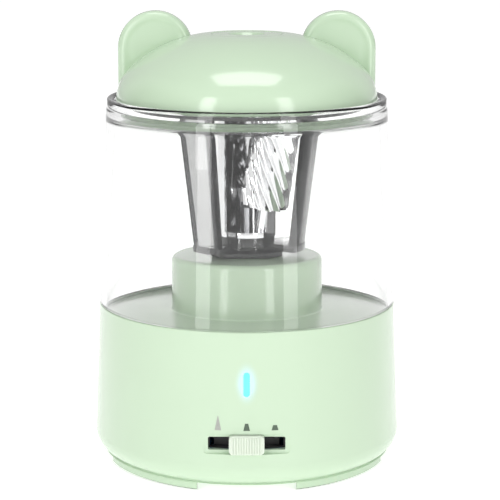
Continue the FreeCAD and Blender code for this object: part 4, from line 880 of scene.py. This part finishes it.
flutes = node_group("cutter_flutes", [
    ("Low", "Float", 0.0), ("High", "Float", 0.02), ("Root", "Float", 0.0056), ("Depth", "Float", 0.0009),
    ("Flutes", "Int", 14), ("Twist", "Float", 2.0), ("Steps", "Int", 48), ("Material", "Material", None)])
given = add(flutes, "NodeGroupInput").outputs
points = combine(flutes, given["Flutes"], 16, operation="MULTIPLY")
circle = add(flutes, "GeometryNodeCurvePrimitiveCircle", {"Resolution": points, "Radius": given["Root"]})
around = add(flutes, "GeometryNodeSplineParameter").outputs["Factor"]
turns_done = combine(flutes, around, given["Flutes"], operation="MULTIPLY")
phase = add(flutes, "ShaderNodeMath", {0: turns_done}, operation="FRACT").outputs[0]
rise = combine(flutes, phase, 0.62, operation="DIVIDE")
fall = combine(flutes, combine(flutes, 1.0, phase, operation="SUBTRACT"), 0.24, operation="DIVIDE")
level = combine(flutes, rise, fall, 1.0, operation="MINIMUM")
curved = combine(flutes, level, 1.6, operation="POWER")
height = combine(flutes, curved, given["Depth"], operation="MULTIPLY")
spot = add(flutes, "GeometryNodeInputPosition").outputs[0]
outwards = add(flutes, "ShaderNodeVectorMath", {0: spot}, operation="NORMALIZE")
shift = add(flutes, "ShaderNodeVectorMath", {0: outwards.outputs[0], "Scale": height}, operation="SCALE")
toothed = add(flutes, "GeometryNodeSetPosition", {"Geometry": circle.outputs[0], "Offset": shift.outputs[0]})
foot = add(flutes, "ShaderNodeCombineXYZ", {"Z": given["Low"]})
top = add(flutes, "ShaderNodeCombineXYZ", {"Z": given["High"]})
line = add(flutes, "GeometryNodeCurvePrimitiveLine", {"Start": foot.outputs[0], "End": top.outputs[0]})
fine = add(flutes, "GeometryNodeResampleCurve", {"Curve": line.outputs[0], "Count": given["Steps"]})
share = add(flutes, "GeometryNodeSplineParameter").outputs["Factor"]
turn = combine(flutes, share, given["Twist"], operation="MULTIPLY")
tilted = add(flutes, "GeometryNodeSetCurveTilt", {"Curve": fine.outputs[0], "Tilt": turn})
swept = add(flutes, "GeometryNodeCurveToMesh", {"Curve": tilted.outputs[0],
                                                "Profile Curve": toothed.outputs[0], "Fill Caps": True})
close_tree(flutes, swept.outputs[0], given)
ground_steel = metal("ground_steel", (0.84, 0.84, 0.85), 0.07, 0.02, (1, 1, 0.2), 700.0)
twist = (blade_high - blade_low) * math.tan(math.radians(HELIX)) / CUTTER_RADIUS
cutter = grow("helical_flutes", flutes, {
    "Low": blade_low, "High": blade_high, "Root": CUTTER_RADIUS - FLUTE_DEPTH, "Depth": FLUTE_DEPTH,
    "Flutes": FLUTES, "Twist": -twist, "Steps": 56, "Material": ground_steel})
neck_top = (plate_ring_high.z - APEX) / math.cos(lean)
neck = lathe("cutter_neck", [(0, blade_high - MM), (NECK_RADIUS, blade_high - MM),
                             (NECK_RADIUS, neck_top), (0, neck_top)], 48)
axle_bore = lathe("axle_bore", [(0, blade_low - MM), (BORE_RADIUS, blade_low - MM),
                                (BORE_RADIUS, neck_top + MM), (0, neck_top + MM)], 40)
carve(cutter, neck, operation="UNION")
carve(cutter, axle_bore)
cutter.data.transform(on_axis)
smooth(cutter, 32)
finish_piece(cutter, "cutter", "tool_steel", ground_steel, "helical_cutter")
pinion = merged_copy("cutter_pinion", "pinion_teeth")
smooth(pinion, 28)
finish_piece(pinion, "cutter", "tool_steel", ground_steel, "cutter_pinion")

# ---- Charging port ----
# A drawn steel socket set in the back of the shell, on its own small board.

port = merged_copy("usb_port", "charging_socket")
soften(port, 0.08 * MM)
finish_piece(port, "base", "port_metal", metal("port_steel", (0.62, 0.62, 0.64), 0.22, 0.08), "usb_port")

# ---- Inside the base ----
# The drive, battery, switch and boards are hidden when the sharpener is closed. They keep the
# frame's shapes, each with the finish of what it is made of.

steel = metal("bright_steel", (0.58, 0.58, 0.60), 0.3, 0.15, (1, 1, 0.1))
spring_steel = metal("spring_steel", (0.45, 0.45, 0.47), 0.35, 0.1)
dark_plastic = moulded("dark_plastic", (0.05, 0.05, 0.052), roughness=0.4, coat=0.0, mottle=0.15)
ferrite = moulded("ferrite", (0.04, 0.038, 0.036), roughness=0.6, grain=0.15, coat=0.0, mottle=0.3)
wrap = moulded("cell_wrap", (0.06, 0.20, 0.45), roughness=0.25, coat=0.2, mottle=0.1)
board_green = moulded("circuit_board", (0.02, 0.16, 0.07), roughness=0.35, coat=0.3, mottle=0.35)
INSIDE = {
    steel: ("motor_can", "motor_rotor", "motor_pinion", "gear_plate", "idler_axle", "spindle", "tip_stop_rod",
            "guide_circlip", "yoke_guide_posts"),
    screw_steel: ("motor_screws", "gear_plate_screws"),
    spring_steel: ("stop_spring",),
    bronze: ("spindle_lower_bush", "spindle_upper_bush"),
    dark_plastic: ("motor_end_cap", "selector_track", "selector_slide", "lift_yoke", "rod_retainer",
                   "start_switch", "battery_holder"),
    grey_acetal: ("idler_gear", "output_gear"),
    ferrite: ("motor_magnets",),
    wrap: ("battery_cell",),
    board_green: ("control_board", "port_board"),
    blue_light: ("indicator_light",),
}
for material, nodes in INSIDE.items():
    for node in nodes:
        frame["nodes"][node].data.materials[0] = material
